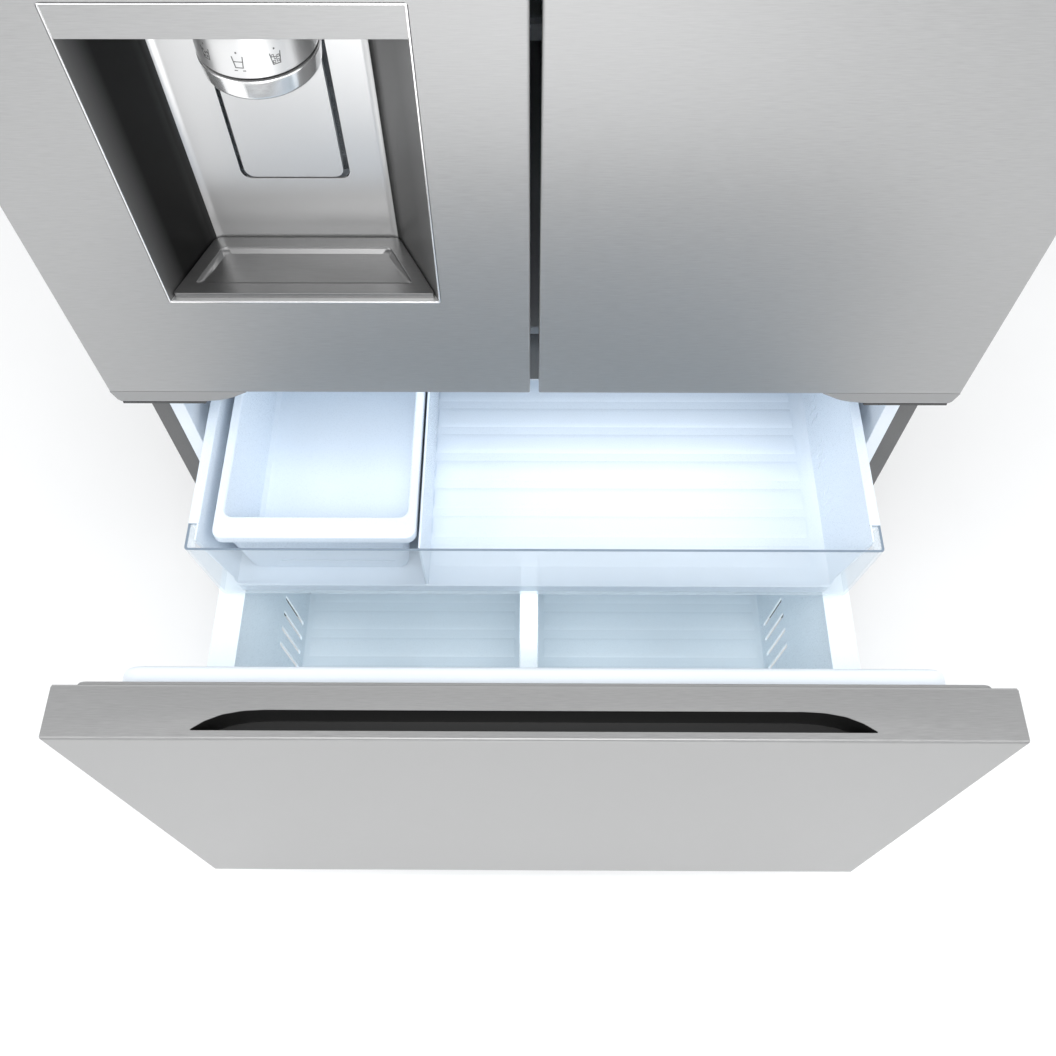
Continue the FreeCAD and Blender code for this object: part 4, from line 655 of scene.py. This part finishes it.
def drawer_front():
    """The drawer's steel front with the grip let into its top edge."""
    top = DRAWER_HIGH.z
    skin = folded_skin("drawer_front_skin", "drawer_panel", 3.2, 6)
    carve(skin, Shape().slab("xy", grip_outline(0), top - 8, top + 5))
    piece(skin, "freezer_drawer", SHADED_DRAWER_STEEL, ["drawer_panel"])
    deep, wall = 32.0, 1.6
    under = top - SHEET
    levels = [(wall, under - deep), (wall, under - 0.05), (0.0, under - 0.05), (-0.6, under - 1.2),
              (-1.2, top - deep + 1.5)]
    loops = [[(a, b, level) for a, b in grip_outline(grow)] for grow, level in levels]
    piece(("grip_pocket", Shape().loft(loops)), "freezer_drawer", LOOKS["dark_trim"],
          ["handle_pocket"])


def drawer_lining():
    """Inner lining of the drawer's front with a raised, round-cornered dike."""
    low, high = cad("drawer_liner")
    plate_y, dike_y, plate_thick = DRAWER_HIGH.y, high.y, 2.0
    plate_face = plate_y + plate_thick
    profile = bent([(0, plate_y, 0), (0, plate_face, 0.5), (12, plate_face, 0)])
    back = Shape().vessel("xz", rectangle(low.x, high.x, low.z, high.z), profile, 1.6)
    piece(("drawer_lining_plate", back), "freezer_drawer", LOOKS["grey_trim"],
          ["drawer_liner"])
    half, dike_low, dike_top, corner = 411.0, 160.0, 649.0, 22
    skin = bent([(3, plate_y + 1.0, 0), (3, plate_y + 6, 2), (0, plate_y + 9, 2), (0, dike_y, 7),
                 (20, dike_y, 0)], 5)
    dike = Shape().vessel("xz", rectangle(-half, half, dike_low, dike_top), skin, corner, 8)
    piece(("drawer_dike", dike), "freezer_drawer", LOOKS["white_liner"])


def rib(shape, x, start, level):
    """A low, soft-sided band across a floor."""
    wide, tall, slope = 30.0, 1.8, 7.0
    side = [(start, level - 0.3), (start + wide, level - 0.3), (start + wide, level + 0.1),
            (start + wide - slope, level + tall), (start + slope, level + tall), (start, level + 0.1)]
    shape.slab("yz", side, *x)


def basket():
    """Lower basket with leaning side walls, air vents, a divider and floor ribs."""
    low, high = cad("basket")
    wall, rim_wide, rim_deep = 2.5, 31.5, 3.0
    half, lean, radius = 363.5, 18.0, 14
    floor, rim_low = low.z + wall, high.z - rim_deep
    # outline of each level: inset all round, plus how far it stands out sideways
    layers = [(30, -lean, low.z), (6, -lean, low.z), (1.5, -lean, low.z + 2.5), (0, -lean, low.z + 7),
              (0, -0.7, high.z - 14), (0, 2, high.z - 7), (0, rim_wide - 3, rim_low - 1),
              (0, rim_wide, rim_low), (0, rim_wide, high.z - 0.8), (0, rim_wide - 0.8, high.z),
              (wall - 0.8, 0, high.z), (wall, 0, high.z - 1.5), (wall, -lean, floor + 6),
              (wall + 1.8, -lean, floor + 1.8), (wall + 6, -lean, floor), (wall + 30, -lean, floor)]
    loops = []
    for inset, wide, level in layers:
        corners = rectangle(-half + inset - wide, half - inset + wide, low.y + inset, high.y - inset)
        loops.append([(a, b, level) for a, b in rounded(corners, max(radius - inset, 2), 6)])
    body = Shape().loft(loops).object("basket_body")
    vent_wide, vent_pitch, vent_low, vent_high = 6, 23, low.z + 19, low.z + 114
    vents = []
    for side in (-1, 1):
        for i in range(4):
            start = (low.y + high.y) / 2 + 2 + vent_pitch * i
            outline = rounded(rectangle(start, start + vent_wide, vent_low, vent_high), 2.9, 4)
            span = sorted((side * (half - lean - 12), side * (half + 4)))
            vents.append(Shape().slab("yz", outline, *span))
    carve(body, *vents)
    piece(body, "freezer_drawer", LIT_BASKET_WHITE, ["basket"])
    middle, half_thick = -5.75, 11.5
    divider = Shape().box((middle - half_thick, middle + half_thick), (low.y + wall, high.y - wall),
                          (floor - 0.5, high.z - 8))
    piece(("basket_divider", divider), "freezer_drawer", LIT_BASKET_WHITE, (), 3.0, 3)
    ribs = Shape()
    for side in (-1, 1):
        span = sorted((side * (half - lean - 12), middle + side * (half_thick + 10)))
        for i in range(7):
            rib(ribs, span, low.y + 26 + 44 * i, floor)
    piece(("basket_floor_ribs", ribs), "freezer_drawer", LIT_BASKET_WHITE, crease=60)


# ------------------------------------------------------------------ upper tray

def tray():
    """Upper tray with leaning walls, slots, floor ribs, a partition, its clear front and the ice bin."""
    low, high = cad("tray")
    wall, rim, rim_deep, draft = 2.5, 13.0, 3.0, 24.0
    y0, y1 = low.y, high.y
    half = 387.0
    foot, edge = half - draft, half + rim
    floor, rim_low = low.z + wall, high.z - rim_deep

    def level_loop(half_width, front, back, radius, level):
        outline = rectangle(-half_width, half_width, y0 + front, y1 - back)
        return [(a, b, level) for a, b in rounded(outline, radius, 6)]

    loops = [level_loop(foot - 14, 16, 16, 4, low.z), level_loop(foot + wall, 0, 2, 10, low.z + 3),
             level_loop(half + wall, 0, 0, 12, high.z - 10), level_loop(edge - 2, 0, 0, 14, rim_low - 1),
             level_loop(edge, 0, 0, 14, rim_low), level_loop(edge, 0, 0, 14, high.z - 0.8),
             level_loop(edge - 0.8, 0.8, 0.8, 13, high.z), level_loop(half + 1, wall, wall, 10, high.z),
             level_loop(half, wall, wall, 10, high.z - 1.2), level_loop(foot + 3, wall, wall, 10, floor + 4),
             level_loop(foot - 4, wall + 4, wall + 5, 8, floor), level_loop(foot - 16, 18, 18, 4, floor)]
    body = Shape().loft(loops).object("tray_body")
    # the front is left low behind the clear front, whose side returns take the place of the rims
    cut_z, past = (low.z + 17, high.z + 5), 5
    opening = Shape().box((-edge - past, edge + past), (y0 - past, y0 + 11), cut_z)
    rim_ends = [Shape().box(sorted((side * (half + wall), side * (edge + past))), (y0 - past, y0 + 32), cut_z)
                for side in (-1, 1)]
    carve(body, opening, *rim_ends)
    slot_wide, slot_tall, slot_lean, slot_lift, slot_rise, slot_pitch = 2.4, 8, 5.0, 20, 11.5, 14
    slots = []
    for side in (-1, 1):
        span = sorted((side * (foot - 2), side * (half + wall + 1)))
        for group in (-197.0, -126.0, -56.0):
            for column in range(3):
                for row in range(2):
                    y, z = group + slot_pitch * column, low.z + slot_lift + slot_rise * row
                    outline = [(y, z), (y + slot_wide, z), (y + slot_wide + slot_lean, z + slot_tall),
                               (y + slot_lean, z + slot_tall)]
                    slots.append(Shape().slab("yz", outline, *span))
    carve(body, *slots)
    piece(body, "freezer_tray", LOOKS["white_bins"], ["tray"])
    ribs, first_rib, rib_pitch, rib_count = Shape(), 34, 42, 10
    for i in range(rib_count):
        rib(ribs, (-128, foot - 16), y0 + first_rib + rib_pitch * i, floor)
    piece(("tray_floor_ribs", ribs), "freezer_tray", LOOKS["white_bins"], crease=60)
    spine = Shape().box((-133, -130), (y0 + 4, y1 - 3), (low.z + 1.5, high.z - 6))
    piece(("tray_partition", spine), "freezer_tray", LOOKS["white_bins"], (), 1.0)
    clear_front(*cad("tray_window"))
    ice_bin()


def clear_front(low, high):
    """Clear moulded front with short side returns, their flanges and the flanges' darker cut edges."""
    half, back, thick, lean = high.x, high.y, 3.0, 14.0
    # a U in plan, outside and then inside; its sides lean in towards the bottom
    outer = [(-half, back), (-half, low.y), (half, low.y), (half, back), (half - thick, back),
             (half - thick, low.y + thick), (-half + thick, low.y + thick), (-half + thick, back)]
    radii = [0.3, 5, 5, 0.3, 0.3, 2.2, 2.2, 0.3]

    def level(z, inset):
        moved = [(a - math.copysign(inset, a), b) for a, b in outer]
        return [(a, b, z) for a, b in rounded(moved, radii, 5)]

    loops = [level(low.z, lean), level(low.z + 16, lean - 3), level(high.z - 1, 0.2), level(high.z, 0.6)]
    pane = Shape().loft(loops).object("tray_clear_front")
    edge_look = moulded("clear_plastic_edge", (0.22, 0.28, 0.35), 0.15)
    piece(pane, "freezer_tray", [LOOKS["clear_plastic"], edge_look], ["tray_window"])
    flange_wide, flange_z, play = 12.6, (high.z - thick, high.z - 0.2), 0.05
    for word, side in SIDES.items():
        flange = Shape().box(sorted((side * (half - flange_wide), side * (half - thick - play))),
                             (low.y + thick + play, back - 0.3), flange_z)
        piece((f"tray_clear_flange_{word}", flange), "freezer_tray", LOOKS["clear_plastic"],
              (), 0.3)
        trim = Shape().box(sorted((side * (half - flange_wide), side * (half - 0.4))),
                           (back - 0.25, back + 1.0), flange_z)
        piece((f"tray_clear_edge_{word}", trim), "freezer_tray", edge_look, (), 0.2)
    for face in pane.data.polygons:
        if abs(face.normal.z) > 0.8 and face.center.z > (high.z - 4) * MM:
            face.material_index = 1


def ice_bin():
    """Loose bin with a broad front lip and tapering walls."""
    low, high = cad("freezer_ice_bin")
    x0, x1, y0, y1 = low.x, high.x, low.y, high.y
    top, floor, lip = high.z, low.z + 2.5, 28.0

    def level(side, front, back, z, radius):
        outline = rectangle(x0 + side, x1 - side, y0 + front, y1 - back)
        return [(a, b, z) for a, b in rounded(outline, radius, 6)]

    loops = [level(34, 30, 24, low.z, 6), level(24, 20, 12, low.z, 10), level(20, 17, 10, low.z + 4, 12),
             level(9, 10, 8, top - 24, 12), level(5, 8, 6, top - 14, 12), level(0.6, 0.6, 0.6, top - 13, 12),
             level(0, 0, 0, top - 12, 12), level(0, 0, 0, top - 2.5, 12), level(0.8, 0.8, 0.8, top - 0.7, 12),
             level(2.5, 2.5, 2.5, top, 12), level(9.5, lip - 1.5, 8, top, 12),
             level(11, lip, 9, top - 1.5, 11), level(22, lip + 6, 14, low.z + 8, 10),
             level(27, lip + 11, 18, floor, 8), level(40, lip + 20, 28, floor, 5)]
    body = Shape().loft(loops).object("ice_bin_body")
    slot = rounded(rectangle(x0 + 62, x1 - 34, low.z + 22, low.z + 26), 1.9)
    carve(body, Shape().slab("xz", slot, y0 + 4, y0 + 20))
    piece(body, "freezer_tray", LOOKS["white_bins"], ["freezer_ice_bin"])


# ------------------------------------------------------------------ CAD nodes that stay

def soften(shown):
    """Break the sharp edges of a CAD node, so that they catch the light."""
    edge, join = 0.8, 0.01
    weld = shown.modifiers.new("join", "WELD")
    weld.merge_threshold = join * MM
    bevel = shown.modifiers.new("edge", "BEVEL")
    bevel.width, bevel.segments, bevel.limit_method = edge * MM, 2, "ANGLE"
    bevel.angle_limit, bevel.use_clamp_overlap, bevel.harden_normals = math.radians(40), True, True


def dress_nodes():
    """Give each node that still shows the material of its slot, or one of its own."""
    own = {node: RAIL_WHITE for node in ("cabinet_rails", "middle_rails", "drawer_rails", "tray_carriers")}
    own["middle_hinges"] = HINGE_DARK
    for entry in frame["record"]["subparts"]:
        shown = frame["nodes"][entry["node"]]
        shown.data.materials.clear()
        shown.data.materials.append(own.get(entry["node"], LOOKS[entry["material_slot"]]))
        soften(shown)


# ------------------------------------------------------------------ studio

def area_light(name, place, aim, size, power, colour=(1, 1, 1)):
    data = bpy.data.lights.new(name, "AREA")
    data.shape = "RECTANGLE"
    data.size, data.size_y = size
    data.energy = power
    data.color = colour
    light = bpy.data.objects.new(name, data)
    bpy.context.scene.collection.objects.link(light)
    light.visible_camera = False
    light.location = place
    light.rotation_euler = (Vector(aim) - Vector(place)).to_track_quat("-Z", "Y").to_euler()


def studio():
    """Pale floor, even white surroundings and soft lights that the camera doesn't see."""
    world = bpy.data.worlds.new("studio")
    bpy.context.scene.world = world
    world.use_nodes = True
    backdrop = world.node_tree.nodes["Background"]
    backdrop.inputs["Color"].default_value = (0.98, 0.99, 1.0, 1)
    backdrop.inputs["Strength"].default_value = 0.88
    bpy.context.scene.view_settings.view_transform = "Standard"
    area_light("key", (0, -1.3, 2.9), (0, -0.9, 0.2), (1.3, 1.3), 30)
    area_light("side_left", (-2.2, -1.4, 2.4), (0, -0.4, 0.8), (1.5, 1.5), 22)
    area_light("side_right", (2.2, -1.4, 2.4), (0, -0.4, 0.8), (1.5, 1.5), 22)
    area_light("front_card", (0, -1.60, 0.10), (0, -0.20, 0.95), (1.0, 0.9), 5.0)
    area_light("basket_lamp", (0, -0.30, 0.44), (0, -0.30, 0.10), (0.6, 0.1), 0.15, (0.88, 0.95, 1.0))
    area_light("freezer_lamp", (0, -0.04, 0.640), (0, -0.50, 0.25), (0.7, 0.05), 0.3, (0.95, 0.98, 1.0))
    bpy.ops.mesh.primitive_plane_add(size=40, location=(0, 0, cad_box[0].z - 0.0005))
    floor = bpy.context.object
    floor.name = "studio_floor"
    floor.data.materials.append(moulded("floor_pale", (0.93, 0.93, 0.93), 0.7, 200, 0.0, 0.99))


def camera():
    """Looking steeply down over the doors' lower half at the open freezer drawer."""
    height, distance, aside = 910.0, 663.0, -1.0
    pitch, yaw, roll, sensor, view_angle = 61.26, -0.29, 0.15, 36.0, 53.53
    data = bpy.data.cameras.new("camera")
    data.sensor_width = sensor
    data.lens = sensor / 2 / math.tan(math.radians(view_angle / 2))
    made = bpy.data.objects.new("camera", data)
    bpy.context.scene.collection.objects.link(made)
    made.location = Vector((aside, FRONT - distance, DOOR_LOW + height)) * MM
    made.rotation_euler = (math.radians(90 - pitch), math.radians(roll), math.radians(-yaw))
    bpy.context.scene.camera = made


camera()
studio()
dress_nodes()
for door in SIDES:
    door_skin(door)
    door_caps(door)
    gasket(f"{door}_door_seal", f"{door}_door_gasket", f"{door}_door")
gasket("drawer_seal", "drawer_gasket", "freezer_drawer")
dispenser()
ice_maker()
drawer_front()
drawer_lining()
basket()
tray()
